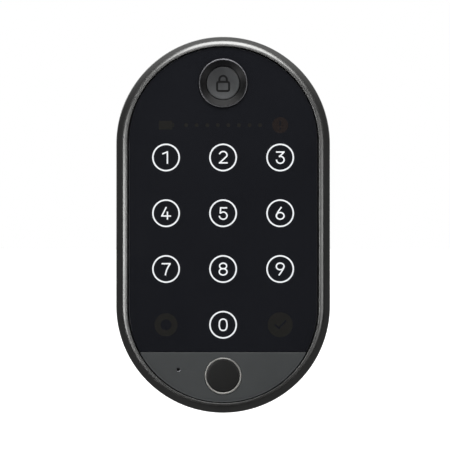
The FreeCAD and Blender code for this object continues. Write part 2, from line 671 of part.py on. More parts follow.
def makeHousing():
    """Cast shell: rim, ledge for the glass, screw bosses, ears and the contact slot."""
    body = newBody("housing")
    sketch, length = between(body, "outline", "gasket_thickness", "rim_level")
    stadium(sketch, "body_width", "body_height")
    pad(body, sketch, length)
    addRound(body, "Fillet", atLevel("rim_level"), "rim_outer_round")
    sketch, length = below(body, "opening", "rim_level", "ledge_front")
    stadium(sketch, "opening_width", "opening_height")
    pocket(body, sketch, length)
    innerEdge = value("opening_width") / 2 + 1e-3

    def rimInside(edge):
        box = edge.BoundBox
        return atLevel("rim_level")(edge) and max(abs(box.XMin), abs(box.XMax)) < innerEdge
    addRound(body, "Fillet", rimInside, "rim_inner_round")
    sketch, length = below(body, "cavity", "ledge_rear", "gasket_thickness")
    stadium(sketch, "cavity_width", "cavity_height")
    pocket(body, sketch, length)
    sketch, length = below(body, "plate_seat", "plate_front", "gasket_thickness")
    stadium(sketch, "recess_width", "recess_height")
    pocket(body, sketch, length)
    sketch, length = below(body, "glass_window", "ledge_front", "ledge_rear")
    upperPane(sketch, "window_width", "window_height", "bar_top")
    pocket(body, sketch, length)
    sketch, length = below(body, "trim_window", "ledge_front", "ledge_rear")
    lowerPane(sketch, "window_width", "window_height", "bar_bottom")
    pocket(body, sketch, length)
    sketch, length = between(body, "bosses", "plate_front", "ledge_rear + ledge_thickness / 2")
    circles(sketch, "screw_boss", bossPlaces)
    pad(body, sketch, length)
    sketch, length = below(body, "boss_threads", "plate_front + plate_thread_length", "plate_front")
    circles(sketch, "plate_thread", bossPlaces)
    pocket(body, sketch, length)
    sketch, length = between(body, "ears", "board_front", "ledge_front")
    earLength = "(window_width / 2 - ear_x + ear_width / 2 + 1)"
    for side in ("-", ""):
        places = [(f"{side}(ear_x - ear_width / 2 + {earLength} / 2)", up)
                  for across, up in earPlaces if across.startswith("-") == (side == "-")]
        rectangles(sketch, earLength, "ear_width", places)
    pad(body, sketch, length)
    sketch, length = below(body, "ear_threads", "board_front + ear_thread_length", "board_front")
    circles(sketch, "ear_thread", earPlaces)
    pocket(body, sketch, length)
    sketch = newSketch(body, "contact_slot", "-body_height / 2", "XY_Plane")
    rectangles(sketch, "block_width + 2 * block_gap", "block_depth + 2 * block_gap",
               [("0", "-contact_level")])
    pocket(body, sketch, "2 * wall", outward=True)


def makeFront():
    """Glass, trim and the adhesive frames that hold them."""
    body = newBody("keypad_glass")
    sketch, length = between(body, "outline", "glass_rear", "glass_front")
    upperPane(sketch, "opening_width - 2 * glass_gap", "opening_height - 2 * glass_gap",
              "trim_edge + joint_gap")
    pad(body, sketch, length)
    addRound(body, "Chamfer", atLevel("glass_front"), "glass_chamfer")
    sketch, length = below(body, "button_hole", "glass_front", "glass_rear")
    circles(sketch, "hole_width", buttonPlace)
    pocket(body, sketch, length)

    body = newBody("glass_tape")
    sketch, length = between(body, "frame", "ledge_front", "glass_rear")
    inset = "2 * (glass_gap + tape_inset)"
    upperPane(sketch, "opening_width - " + inset, "opening_height - " + inset,
              "trim_edge + joint_gap + tape_inset")
    upperPane(sketch, "window_width", "window_height", "bar_top")
    pad(body, sketch, length)

    body = newBody("sensor_trim")
    sketch, length = between(body, "outline", "glass_rear", "trim_front")
    lowerPane(sketch, "opening_width - 2 * glass_gap", "opening_height - 2 * glass_gap", "trim_edge")
    pad(body, sketch, length)
    addRound(body, "Chamfer", atLevel("trim_front"), "glass_chamfer")
    sketch, length = between(body, "bosses", "holder_front", "glass_rear")
    circles(sketch, "holder_boss", holderScrewPlaces)
    pad(body, sketch, length)
    sketch, length = below(body, "threads", "glass_rear + holder_screw_reach", "holder_front")
    circles(sketch, "holder_thread", holderScrewPlaces)
    pocket(body, sketch, length)
    sketch, length = below(body, "sensor_hole", "trim_front", "glass_rear")
    circles(sketch, "sensor_ring + 2 * fit_gap", [("0", "sensor_z")])
    pocket(body, sketch, length)
    sketch, length = below(body, "vent", "trim_front", "glass_rear")
    circles(sketch, "vent_hole", [("-vent_x", "vent_z")])
    pocket(body, sketch, length)

    body = newBody("trim_tape")
    sketch, length = between(body, "frame", "ledge_front", "glass_rear")
    lowerPane(sketch, "opening_width - " + inset, "opening_height - " + inset, "trim_edge - tape_inset")
    lowerPane(sketch, "window_width", "window_height", "bar_bottom")
    pad(body, sketch, length)

    body = newBody("vent_membrane")
    sketch, length = between(body, "disc", "glass_rear - tape_thickness", "glass_rear")
    circles(sketch, "vent_disc", [("-vent_x", "vent_z")])
    pad(body, sketch, length)


def makeSensor():
    """Fingerprint sensor with its ring, seal, board, holder and flexible strip."""
    turned("sensor_ring", [
        ("sensor_width / 2", "flange_rear"),
        ("ring_flange / 2", "flange_rear"),
        ("ring_flange / 2", "flange_front"),
        ("sensor_ring / 2", "flange_front"),
        ("sensor_ring / 2", "ring_front - fit_gap"),
        ("sensor_ring / 2 - 3 * fit_gap", "ring_front"),
        ("sensor_width / 2", "ring_front"),
    ], z="sensor_z")
    turned("fingerprint_sensor", [
        ("0", "holder_front"),
        ("ring_flange / 2 - 6 * fit_gap", "holder_front"),
        ("ring_flange / 2 - 6 * fit_gap", "flange_rear"),
        ("sensor_width / 2 - fit_gap", "flange_rear"),
        ("sensor_width / 2 - fit_gap", "ring_front - sensor_sunk"),
        ("0", "ring_front - sensor_sunk"),
    ], z="sensor_z")
    turned("sensor_gasket", [
        ("sensor_ring / 2 + fit_gap", "flange_front"),
        ("ring_flange / 2", "flange_front"),
        ("ring_flange / 2", "glass_rear"),
        ("sensor_ring / 2 + fit_gap", "glass_rear"),
    ], z="sensor_z")

    body = newBody("sensor_board")
    sketch, length = between(body, "disc", "pcb_rear", "holder_front")
    circles(sketch, "ring_flange - 8 * fit_gap", [("0", "sensor_z")])
    pad(body, sketch, length)

    body = newBody("sensor_holder")
    sketch, length = between(body, "outline", "holder_rear", "holder_front")
    rectangles(sketch, "holder_width", "holder_height", [("0", "sensor_z")])
    pad(body, sketch, length)

    def upright(edge):
        box = edge.BoundBox
        return box.YLength > 1e-3 and box.XLength < 1e-4 and box.ZLength < 1e-4
    addRound(body, "Fillet", upright, "holder_round")
    sketch, length = below(body, "board_seat", "holder_front", "pcb_rear")
    circles(sketch, "ring_flange", [("0", "sensor_z")])
    pocket(body, sketch, length)
    sketch, length = below(body, "strip_slot", "holder_front", "holder_rear")
    rectangles(sketch, "flex_width + 4 * screw_gap", "holder_height",
               [("0", "sensor_z + holder_height / 2 - strip_slot")])
    pocket(body, sketch, length)
    sketch, length = below(body, "screw_holes", "holder_front", "holder_rear")
    circles(sketch, "holder_thread + 2 * screw_gap", holderScrewPlaces)
    pocket(body, sketch, length)
    screws("sensor_holder_screws", holderScrewPlaces,
           "holder_head", "holder_rear - holder_head_depth", "holder_rear",
           "holder_thread - 2 * thread_gap", "holder_rear", "glass_rear + holder_screw_reach - screw_gap")

    # The strip leaves the board's rear, goes up and bends towards the main board.
    body = newBody("sensor_flex")
    sketch = newSketch(body, "side_view", "-flex_width / 2", "YZ_Plane")
    polygon(sketch, [
        ("-pcb_rear", "sensor_z"),
        ("-pcb_rear", "flex_z + flex_thickness / 2"),
        ("-(strip_end)", "flex_z + flex_thickness / 2"),
        ("-(strip_end)", "flex_z - flex_thickness / 2"),
        ("flex_thickness - (pcb_rear)", "flex_z - flex_thickness / 2"),
        ("flex_thickness - (pcb_rear)", "sensor_z"),
    ])
    pad(body, sketch, "flex_width")

    def bendAt(level, z):
        def test(edge):
            box = edge.BoundBox
            there = abs(box.YMin + value(level)) < 1e-3 and abs(box.ZMin - value(z)) < 1e-3
            return there and box.XLength > 1
        return test
    addRound(body, "Fillet", bendAt("pcb_rear", "flex_z + flex_thickness / 2"),
             "flex_bend + flex_thickness / 2")
    addRound(body, "Fillet", bendAt("pcb_rear - flex_thickness", "flex_z - flex_thickness / 2"),
             "flex_bend - flex_thickness / 2")

    body = chips("flex_socket", [("0", "flex_z", "socket_width", "socket_depth")], "main_front",
                 "main_front + socket_rise")
    sketch, length = below(body, "slot", "main_front + socket_rise", "main_front + socket_floor")
    rectangles(sketch, "flex_width + 2 * screw_gap", "2 * flex_thickness", [("0", "flex_z")])
    pocket(body, sketch, length)


def makeButton():
    """Wake button in its dished bezel, with spring, seal, clip, nut and switch."""
    turned("button_bezel", [
        ("clip_pocket / 2", "shank_end"),
        ("bezel_shank / 2", "shank_end"),
        ("bezel_shank / 2", "bezel_rear"),
        ("bezel_width / 2", "bezel_rear"),
        ("bezel_width / 2", "bezel_front - bezel_edge"),
        ("bezel_width / 2 - bezel_edge", "bezel_front"),
        ("bezel_mouth / 2", "bezel_front"),
        ("cap_width / 2 + cap_gap", "cap_front"),
        ("cap_width / 2 + cap_gap", "web_front"),
        ("stem_width / 2 + stem_gap", "web_front"),
        ("stem_width / 2 + stem_gap", "web_rear"),
        ("clip_pocket / 2", "web_rear"),
    ], z="button_z")
    turned("bezel_gasket", [
        ("hole_width / 2", "glass_front"),
        ("bezel_mouth / 2", "glass_front"),
        ("bezel_mouth / 2", "bezel_rear"),
        ("hole_width / 2", "bezel_rear"),
    ], z="button_z")

    body = newBody("bezel_nut", 1, z="button_z")
    sketch, length = between(body, "outline", "shank_end", "board_rear")
    hexagons(sketch, "nut_flats", [("0", "0")])
    circles(sketch, "bezel_shank + 2 * thread_gap", [("0", "0")])
    pad(body, sketch, length)

    turned("wake_button", [
        ("0", "stem_end"),
        ("stem_width / 2", "stem_end"),
        ("stem_width / 2", "clip_rear - stop_gap"),
        ("stem_width / 2 - clip_depth", "clip_rear - stop_gap"),
        ("stem_width / 2 - clip_depth", "clip_front + stop_gap"),
        ("stem_width / 2", "clip_front + stop_gap"),
        ("stem_width / 2", "cap_rear"),
        ("cap_width / 2", "cap_rear"),
        ("cap_width / 2", "cap_rear + ring_back"),
        ("cap_width / 2 - ring_depth", "cap_rear + ring_back"),
        ("cap_width / 2 - ring_depth", "cap_rear + ring_back + ring_groove"),
        ("cap_width / 2", "cap_rear + ring_back + ring_groove"),
        ("cap_width / 2", "cap_front - cap_dish"),
        ("cap_width / 2 - cap_dish", "cap_front"),
        ("cap_width / 2 - 3 * cap_dish", "cap_front"),
        ("0", "cap_front - cap_dish"),
    ], z="button_z")

    ring = doc.addObject("Part::Torus", "button_o_ring")
    ring.Label = "button_o_ring"
    ringRadius = "cap_width / 2 - ring_depth + thread_gap + ring_section / 2"
    ring.setExpression("Radius1", bound(ringRadius))
    ring.setExpression("Radius2", bound("ring_section / 2"))
    ring.Placement.Rotation = FreeCAD.Rotation(Vector(1, 0, 0), 90)
    ring.setExpression("Placement.Base.y", bound("-(cap_rear + ring_back + ring_groove / 2)"))
    ring.setExpression("Placement.Base.z", bound("button_z"))
    pieces.append(ring)
    solidCounts["button_o_ring"] = 1

    body = newBody("button_spring", 1, z="button_z")
    sketch = newSketch(body, "wire", "0", "XY_Plane")
    circles(sketch, "spring_wire", [("spring_width / 2", "-(web_front + spring_wire / 2)")])
    coil = body.newObject("PartDesign::AdditiveHelix", "spring_coil")
    coil.Profile = sketch
    coil.ReferenceAxis = (sketch, ["V_Axis"])
    coil.setExpression("Pitch", bound("(spring_space - spring_wire) / spring_turns"))
    coil.setExpression("Height", bound("spring_space - spring_wire"))
    coil.Reversed = True

    body = newBody("button_clip", 1, z="button_z")
    sketch, length = between(body, "ring", "clip_rear", "clip_front")
    circles(sketch, "clip_width", [("0", "0")])
    circles(sketch, "stem_width - 2 * clip_depth + 2 * stop_gap", [("0", "0")])
    pad(body, sketch, length)
    sketch, length = below(body, "gap", "clip_front", "clip_rear")
    rectangles(sketch, "stem_width - 2 * clip_depth", "clip_width", [("0", "-clip_width / 2")])
    pocket(body, sketch, length)

    body = newBody("switch_body")
    sketch, length = between(body, "outline", "main_front", "switch_front")
    rectangles(sketch, "switch_width", "switch_width", buttonPlace)
    pad(body, sketch, length)
    sketch, length = below(body, "well", "switch_front", "switch_front - plunger_well")
    circles(sketch, "plunger_width + 4 * fit_gap", buttonPlace)
    pocket(body, sketch, length)
    body = newBody("switch_plunger")
    sketch, length = between(body, "disc", "switch_front - plunger_sunk", "plunger_front")
    circles(sketch, "plunger_width", buttonPlace)
    pad(body, sketch, length)


def makeKeypad():
    """Film, light baffle and keypad board with its LEDs, chips and screws."""
    body = newBody("diffuser_sheet")
    sketch, length = between(body, "outline", "glass_rear - diffuser_thickness", "glass_rear")
    upperPane(sketch, "film_width", "film_height", "board_edge")
    circles(sketch, "hole_width", buttonPlace)
    pad(body, sketch, length)

    body = newBody("light_baffle")
    sketch, length = between(body, "outline", "board_front", "ledge_front")
    upperPane(sketch, "film_width", "film_height", "board_edge")
    pad(body, sketch, length)
    sketch, length = below(body, "wells", "ledge_front", "board_front")
    circles(sketch, "key_well", keyPlaces)
    circles(sketch, "dot_well", dotPlaces)
    circles(sketch, "icon_well", iconPlaces)
    circles(sketch, "corner_well", cornerPlaces)
    circles(sketch, "hole_width", buttonPlace)
    pocket(body, sketch, length)
    sketch, length = below(body, "ear_notches", "ledge_front", "board_front")
    notchLength = "(window_width / 2 - ear_x + ear_width / 2 + ear_gap + 1)"
    for side in ("-", ""):
        places = [(f"{side}(ear_x - ear_width / 2 - ear_gap + {notchLength} / 2)", up)
                  for across, up in earPlaces if across.startswith("-") == (side == "-")]
        rectangles(sketch, notchLength, "ear_width + 2 * ear_gap", places)
    circles(sketch, "boss_clearance", upperBossPlaces)
    pocket(body, sketch, length)

    body = newBody("keypad_board")
    sketch, length = between(body, "outline", "board_rear", "board_front")
    upperPane(sketch, "film_width", "film_height", "board_edge")
    pad(body, sketch, length)
    sketch, length = below(body, "holes", "board_front", "board_rear")
    circles(sketch, "hole_width", buttonPlace)
    circles(sketch, "ear_thread + 2 * screw_gap", earPlaces)
    circles(sketch, "boss_clearance", upperBossPlaces)
    pocket(body, sketch, length)

    chips("key_leds", [(across, up, "key_led", "key_led / 2") for across, up in keyPlaces],
          "board_front", "board_front + led_rise")
    iconLights = dotPlaces + iconPlaces + cornerPlaces
    chips("icon_leds", [(across, up, "icon_led", "icon_led / 2") for across, up in iconLights],
          "board_front", "board_front + led_rise")
    chips("touch_chips", [("0", "first_row", 7.0, 7.0), ("-key_x", "0", 4.0, 4.0), ("key_x", "0", 4.0, 4.0),
                          ("-key_x", "first_row", 2.5, 1.6), ("key_x", "first_row", 2.5, 1.6)],
          "board_rear - touch_chip_rise", "board_rear")
    screws("keypad_board_screws", earPlaces,
           "ear_head", "board_rear - ear_head_depth", "board_rear",
           "ear_thread - 2 * thread_gap", "board_rear", "board_front + ear_thread_length - 2 * screw_gap")
    chips("board_plug", [("0", "-plug_z", "plug_width", "plug_depth")],
          "main_front + plug_split", "board_rear")


def makeMainBoard():
    """Main board and what is soldered to it, on standoffs from the back plate."""
    body = newBody("main_board")
    sketch, length = between(body, "outline", "main_rear", "main_front")
    stadium(sketch, "main_width", "main_height")
    pad(body, sketch, length)
    sketch, length = below(body, "holes", "main_front", "main_rear")
    circles(sketch, "main_thread + 2 * screw_gap", standoffPlaces)
    circles(sketch, "boss_clearance", bossPlaces)
    pocket(body, sketch, length)

    chips("board_socket", [("0", "-plug_z", "plug_width + 2 * plug_rim", "plug_depth + 2 * plug_rim")],
          "main_front", "main_front + plug_split")
    chips("main_chips", [("0", 5.0, 8.0, 8.0), ("-12", 8.0, 5.0, 6.0), ("12", 6.0, 5.0, 4.0),
                         ("-12", "-5", 3.2, 1.6), ("12", "-4", 3.2, 1.6), ("-6", "-8", 2.0, 1.25),
                         ("6", "-8", 2.0, 1.25), ("-14", "-30", 4.0, 4.0), ("14", "-30", 4.0, 4.0)],
          "main_front", "main_front + chip_rise")
    chips("radio_can", [("9.5", "module_z", 13.0, 16.0)], "main_front", "main_front + radio_rise")
    buzzerPlace = [("-10.5", "module_z")]
    body = newBody("buzzer")
    sketch, length = between(body, "disc", "main_front", "main_front + buzzer_rise")
    circles(sketch, "buzzer_width", buzzerPlace)
    pad(body, sketch, length)
    sketch, length = below(body, "mouth", "main_front + buzzer_rise", "main_front + buzzer_rise / 2")
    circles(sketch, "buzzer_mouth", buzzerPlace)
    pocket(body, sketch, length)

    body = newBody("board_standoffs", len(standoffPlaces))
    sketch, length = between(body, "rings", "plate_front", "main_rear")
    circles(sketch, "standoff_width", standoffPlaces)
    circles(sketch, "main_thread", standoffPlaces)
    pad(body, sketch, length)
    screws("main_board_screws", standoffPlaces,
           "main_head", "main_front", "main_front + main_head_depth",
           "main_thread - 2 * thread_gap", "plate_front + main_screw_short", "main_front")

    # The header's mouth opens upwards, towards the inlet.
    body = chips("cable_header", [("0", "header_z", "header_width", "header_depth")],
                 "main_rear - header_rise", "main_rear")
    sketch = newSketch(body, "socket", "header_z + header_wall - header_depth / 2", "XY_Plane")
    rectangles(sketch, "header_width - 2 * header_wall", "header_rise - 2 * header_wall",
               [("0", "header_rise / 2 - (main_rear)")])
    pocket(body, sketch, "header_depth", outward=True)


def makeBack():
    """Back plate, door pad, collar, posts and cable inlet."""
    body = newBody("back_plate")
    sketch, length = between(body, "outline", "gasket_thickness", "plate_front")
    stadium(sketch, "recess_width - 2 * plate_gap", "recess_height - 2 * plate_gap")
    pad(body, sketch, length)
    sketch, length = below(body, "holes", "plate_front", "gasket_thickness")
    circles(sketch, "bush_width + 2 * thread_gap", [("0", "0")])
    circles(sketch, "post_width + 2 * thread_gap", postPlaces)
    circles(sketch, "grommet_body + 2 * fit_gap", cablePlace)
    circles(sketch, "plate_hole", bossPlaces)
    circles(sketch, "plate_thread", collarScrewPlaces)
    pocket(body, sketch, length)
    sketch = newSketch(body, "countersinks", "gasket_thickness")
    circles(sketch, "plate_head + 2 * screw_gap", bossPlaces)
    pocket(body, sketch, "plate_head_depth", outward=True, taper="-45")

    body = newBody("back_plate_screws", len(bossPlaces))
    sketch, length = between(body, "heads", "gasket_thickness",
                             "gasket_thickness + plate_head_depth - fit_gap")
    circles(sketch, "plate_head", bossPlaces)
    pad(body, sketch, length, taper="-45")
    sketch, length = between(body, "shanks", "gasket_thickness + plate_head_depth / 2",
                             "plate_front + 3 / 4 * plate_thread_length")
    circles(sketch, "plate_thread - 2 * thread_gap", bossPlaces)
    pad(body, sketch, length)
    sketch = newSketch(body, "sockets", "gasket_thickness")
    hexagons(sketch, "head_socket", bossPlaces)
    pocket(body, sketch, "head_socket_depth", outward=True)

    body = newBody("door_gasket")
    sketch, length = between(body, "outline", "0", "gasket_thickness")
    stadium(sketch, "body_width - 2 * gasket_inset", "body_height - 2 * gasket_inset")
    circles(sketch, "bore_pin + 2 * collar_gap", [("0", "0")])
    pad(body, sketch, length)

    body = turned("bore_collar", [
        ("0", "gasket_thickness"),
        ("bore_pin / 2 - collar_relief", "gasket_thickness"),
        ("bore_pin / 2 - collar_relief", "0"),
        ("bore_pin / 2", "0"),
        ("bore_pin / 2", "collar_chamfer - collar_depth"),
        ("bore_pin / 2 - collar_chamfer", "-collar_depth"),
        ("bore_pin / 2 - collar_wall", "-collar_depth"),
        ("bore_pin / 2 - collar_wall", "web_end"),
        ("0", "web_end"),
    ])
    sketch, length = below(body, "holes", "gasket_thickness", "web_end")
    circles(sketch, "bush_width + 2 * thread_gap", [("0", "0")])
    circles(sketch, "post_width + 4 * fit_gap", postPlaces)
    circles(sketch, "grommet_body + 2 * fit_gap", cablePlace)
    circles(sketch, "plate_hole", collarScrewPlaces)
    pocket(body, sketch, length)
    body = screws("collar_screws", collarScrewPlaces,
                  "collar_head", "web_end - collar_head_depth", "web_end",
                  "plate_thread - 2 * thread_gap", "web_end", "plate_front")
    sketch = newSketch(body, "sockets", "web_end - collar_head_depth")
    hexagons(sketch, "head_socket", collarScrewPlaces)
    pocket(body, sketch, "head_socket_depth", outward=True)

    body = screws("mounting_posts", postPlaces,
                  "post_flange", "plate_front", "plate_front + post_flange_thickness",
                  "post_width", "-post_reach", "plate_front")
    sketch, length = below(body, "threads", "gasket_thickness + plate_thickness / 2", "-post_reach")
    circles(sketch, "post_bore", postPlaces)
    pocket(body, sketch, length)

    body = newBody("cable_grommet")
    sketch, length = between(body, "body", "web_end - grommet_lip", "plate_front + grommet_lip")
    circles(sketch, "grommet_body", cablePlace)
    pad(body, sketch, length)
    sketch, length = between(body, "rear_lip", "web_end - grommet_lip", "web_end")
    circles(sketch, "grommet_flange", cablePlace)
    pad(body, sketch, length)
    sketch, length = between(body, "front_lip", "plate_front", "plate_front + grommet_lip")
    circles(sketch, "grommet_flange", cablePlace)
    pad(body, sketch, length)
    sketch, length = below(body, "bore", "plate_front + grommet_lip", "web_end - grommet_lip")
    circles(sketch, "cable_hole", cablePlace)
    pocket(body, sketch, length)


def makeTailpiece():
    """Hub that turns in a bush at the centre of the bore, and the blade that it carries."""
    turned("hub_bush", [
        ("hub_shaft / 2 + hub_running_gap", "bush_end"),
        ("bush_flange / 2", "bush_end"),
        ("bush_flange / 2", "web_end"),
        ("bush_width / 2", "web_end"),
        ("bush_width / 2", "plate_front"),
        ("hub_shaft / 2 + hub_running_gap", "plate_front"),
    ])
    turned("hub_washer", [
        ("hub_shaft / 2 + hub_running_gap", "plate_front"),
        ("hub_head / 2", "plate_front"),
        ("hub_head / 2", "hub_washer_front"),
        ("hub_shaft / 2 + hub_running_gap", "hub_washer_front"),
    ])
    body = turned("tailpiece_hub", [
        ("0", "head_end"),
        ("hub_head / 2 - hub_chamfer", "head_end"),
        ("hub_head / 2", "head_end + hub_chamfer"),
        ("hub_head / 2", "head_start"),
        ("hub_shaft / 2", "head_start"),
        ("hub_shaft / 2", "hub_clip_rear - stop_gap / 2"),
        ("hub_shaft / 2 - hub_clip_depth", "hub_clip_rear - stop_gap / 2"),
        ("hub_shaft / 2 - hub_clip_depth", "hub_clip_front + stop_gap"),
        ("hub_shaft / 2", "hub_clip_front + stop_gap"),
        ("hub_shaft / 2", "hub_front"),
        ("0", "hub_front"),
    ])
    sketch, length = below(body, "slot", "plate_front", "head_end")
    rectangles(sketch, "blade_thickness + 2 * blade_gap", "blade_width + 2 * blade_gap", [("0", "0")])
    pocket(body, sketch, length)
    sketch = newSketch(body, "pin_hole", "hub_head", "YZ_Plane")
    circles(sketch, "pin_width + 2 * thread_gap", [("-(pin_level)", "0")])
    pocket(body, sketch, "2 * hub_head")

    body = newBody("hub_clip")
    sketch, length = between(body, "ring", "hub_clip_rear", "hub_clip_front")
    circles(sketch, "hub_clip_width", [("0", "0")])
    circles(sketch, "hub_shaft - 2 * hub_clip_depth + 2 * stop_gap", [("0", "0")])
    pad(body, sketch, length)
    sketch, length = below(body, "gap", "hub_clip_front", "hub_clip_rear")
    rectangles(sketch, "hub_clip_gap", "hub_shaft", [("0", "-hub_shaft / 2")])
    pocket(body, sketch, length)

    body = newBody("tailpiece")
    sketch, length = between(body, "section", "-blade_reach", "plate_front - blade_gap")
    rectangles(sketch, "blade_thickness", "blade_width", [("0", "0")])
    pad(body, sketch, length)
    sketch = newSketch(body, "pin_hole", "hub_head", "YZ_Plane")
    circles(sketch, "pin_width + 2 * thread_gap", [("-(pin_level)", "0")])
    pocket(body, sketch, "2 * hub_head")

    body = newBody("hub_pin")
    sketch = newSketch(body, "section", "-(hub_head / 2 - blade_gap)", "YZ_Plane")
    circles(sketch, "pin_width", [("-(pin_level)", "0")])
    pad(body, sketch, "hub_head - 2 * blade_gap")


def makeContacts():
    """Two contacts on the underside, for feeding the lock from a small battery."""
    body = newBody("contact_block")
    sketch, length = between(body, "plug", "contact_level - block_depth / 2",
                             "contact_level + block_depth / 2")
    bottomBand(sketch, "cavity_width / 2 - block_inside", "block_radius", "block_width / 2")
    pad(body, sketch, length)
    sketch, length = between(body, "lip", "contact_level - block_depth / 2 - block_lip",
                             "contact_level + block_depth / 2 + block_lip")
    bottomBand(sketch, "cavity_width / 2 - block_inside", "cavity_width / 2 - block_gap",
               "block_width / 2 + block_lip")
    pad(body, sketch, length)
    places = [("-contact_pitch / 2", "-contact_level"), ("contact_pitch / 2", "-contact_level")]
    sketch = newSketch(body, "head_holes", "-body_height / 2", "XY_Plane")
    circles(sketch, "contact_head + 4 * fit_gap", places)
    pocket(body, sketch, "body_height / 2 - (contact_face) + contact_head_length", outward=True)
    sketch = newSketch(body, "shank_holes", "-body_height / 2", "XY_Plane")
    circles(sketch, "contact_shank + 2 * fit_gap", places)
    pocket(body, sketch, "4 * wall", outward=True)

    shankTop = "end_centre + cavity_width / 2 - block_inside - contact_short"
    body = newBody("power_contacts", 2)
    sketch = newSketch(body, "heads", "-(contact_face)", "XY_Plane")
    circles(sketch, "contact_head", places)
    pad(body, sketch, "contact_head_length")
    sketch = newSketch(body, "shanks", "-(contact_face)", "XY_Plane")
    circles(sketch, "contact_shank", places)
    pad(body, sketch, f"contact_face - ({shankTop})")
    sketch = newSketch(body, "tabs", f"-({shankTop})", "XY_Plane")
    rectangles(sketch, "contact_shank - 4 * fit_gap", "contact_tab", places)
    pad(body, sketch, "contact_tab_length")


makeHousing()
makeFront()
makeSensor()
makeButton()
makeKeypad()
makeMainBoard()
makeBack()
makeTailpiece()
makeContacts()
doc.recompute()

# Nothing is written unless every feature worked and every piece is the solid that it should be.
faults = []
for item in doc.Objects:
    if "Invalid" in item.State or "Error" in item.State:
        faults.append(f"{item.Name} failed: {item.State}")
    if item.TypeId == "PartDesign::Pocket" and not item.Shape.isNull():
        if item.Shape.Volume > item.BaseFeature.Shape.Volume - 1e-6:
            faults.append(f"{item.Name} cuts nothing")
for piece in pieces:
    shape = piece.Shape
    if shape.isNull() or not shape.isValid():
        faults.append(f"{piece.Label} has no valid shape")
    elif len(shape.Solids) != solidCounts[piece.Label]:
        faults.append(f"{piece.Label} has {len(shape.Solids)} solids")
if faults:
    raise RuntimeError("\n".join(faults))

os.makedirs("parts", exist_ok=True)
for piece in pieces:
    piece.Shape.exportStep(f"parts/{piece.Label}.step")
print(len(pieces), "nodes written")
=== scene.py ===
import json
import math

import bmesh
import bpy
import numpy as np
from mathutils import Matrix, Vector


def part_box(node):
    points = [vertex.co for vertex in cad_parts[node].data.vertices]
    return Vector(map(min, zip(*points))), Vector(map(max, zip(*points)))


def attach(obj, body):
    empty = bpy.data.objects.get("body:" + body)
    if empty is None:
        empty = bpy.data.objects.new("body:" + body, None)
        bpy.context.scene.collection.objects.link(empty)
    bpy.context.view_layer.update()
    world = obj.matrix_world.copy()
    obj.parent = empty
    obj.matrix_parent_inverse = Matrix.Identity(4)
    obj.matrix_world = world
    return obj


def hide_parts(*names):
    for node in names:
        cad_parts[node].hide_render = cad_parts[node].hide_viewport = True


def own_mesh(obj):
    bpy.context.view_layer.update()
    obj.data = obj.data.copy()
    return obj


# Looks of a keypad smart lock's outside unit. X to the right, Y into the door, Z up, in metres.
# A level is a distance in millimetres out from the door's face, so level 20 is y = -20 mm.
# Where a piece's corners are listed, k is short for the piece's own dictionary.

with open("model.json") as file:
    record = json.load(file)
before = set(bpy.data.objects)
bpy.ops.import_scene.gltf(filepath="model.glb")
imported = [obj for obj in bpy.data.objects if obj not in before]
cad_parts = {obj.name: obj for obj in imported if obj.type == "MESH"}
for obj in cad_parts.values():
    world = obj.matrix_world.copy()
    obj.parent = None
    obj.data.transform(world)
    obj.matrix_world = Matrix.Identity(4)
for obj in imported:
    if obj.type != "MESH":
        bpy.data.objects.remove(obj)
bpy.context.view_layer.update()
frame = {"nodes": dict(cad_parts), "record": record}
nodes = frame["nodes"]
print("frame loaded,", len(nodes), "nodes")

mm = 0.001


# small helpers

def linear(colour):
    # sRGB hex to linear light: ((c + 0.055) / 1.055) ^ 2.4, or c / 12.92 close to black
    c = np.array([int(colour[i:i + 2], 16) for i in (1, 3, 5)]) / 255
    c = np.where(c > 0.04045, ((c + 0.055) / 1.055) ** 2.4, c / 12.92)
    return (float(c[0]), float(c[1]), float(c[2]), 1.0)


def addNode(tree, kind, inputs=None, **settings):
    # one node with its settings; an input is a plain value, or another node's output to link
    node = tree.nodes.new(kind)
    for key, value in settings.items():
        setattr(node, key, value)
    for socket, value in (inputs or {}).items():
        if isinstance(value, bpy.types.NodeSocket):
            tree.links.new(value, node.inputs[socket])
        else:
            node.inputs[socket].default_value = value
    return node


def unit(rows):
    # each row made one long
    return rows / np.linalg.norm(rows, axis=1, keepdims=True)


def atLevel(points, level):
    # (across, up) points as (x, y, z) points at one level
    return np.stack([points[:, 0], np.full(len(points), -level), points[:, 1]], -1)


def softCorners(corners, steps=6):
    # outline of (a, b, radius) corners with each one rounded: the arc's ends lie radius / tan(half the
    # inner angle) along both sides, its centre radius / sin(half) along the bisector
    c = np.array(corners, float)
    p, r = c[:, :2], c[:, 2:3]
    before, after = unit(np.roll(p, 1, 0) - p), unit(np.roll(p, -1, 0) - p)
    inner = np.arccos(np.clip((before * after).sum(1, keepdims=True), -1, 1))
    centre = p + unit(before + after) * r / np.sin(inner / 2)
    start = p + before * r / np.tan(inner / 2) - centre
    end = p + after * r / np.tan(inner / 2) - centre
    s, w = np.linspace(0, 1, steps)[None, :, None], (math.pi - inner)[:, None]
    arc = (np.sin((1 - s) * w) * start[:, None] + np.sin(s * w) * end[:, None]) / np.sin(w)
    return (centre[:, None] + arc).reshape(-1, 2)


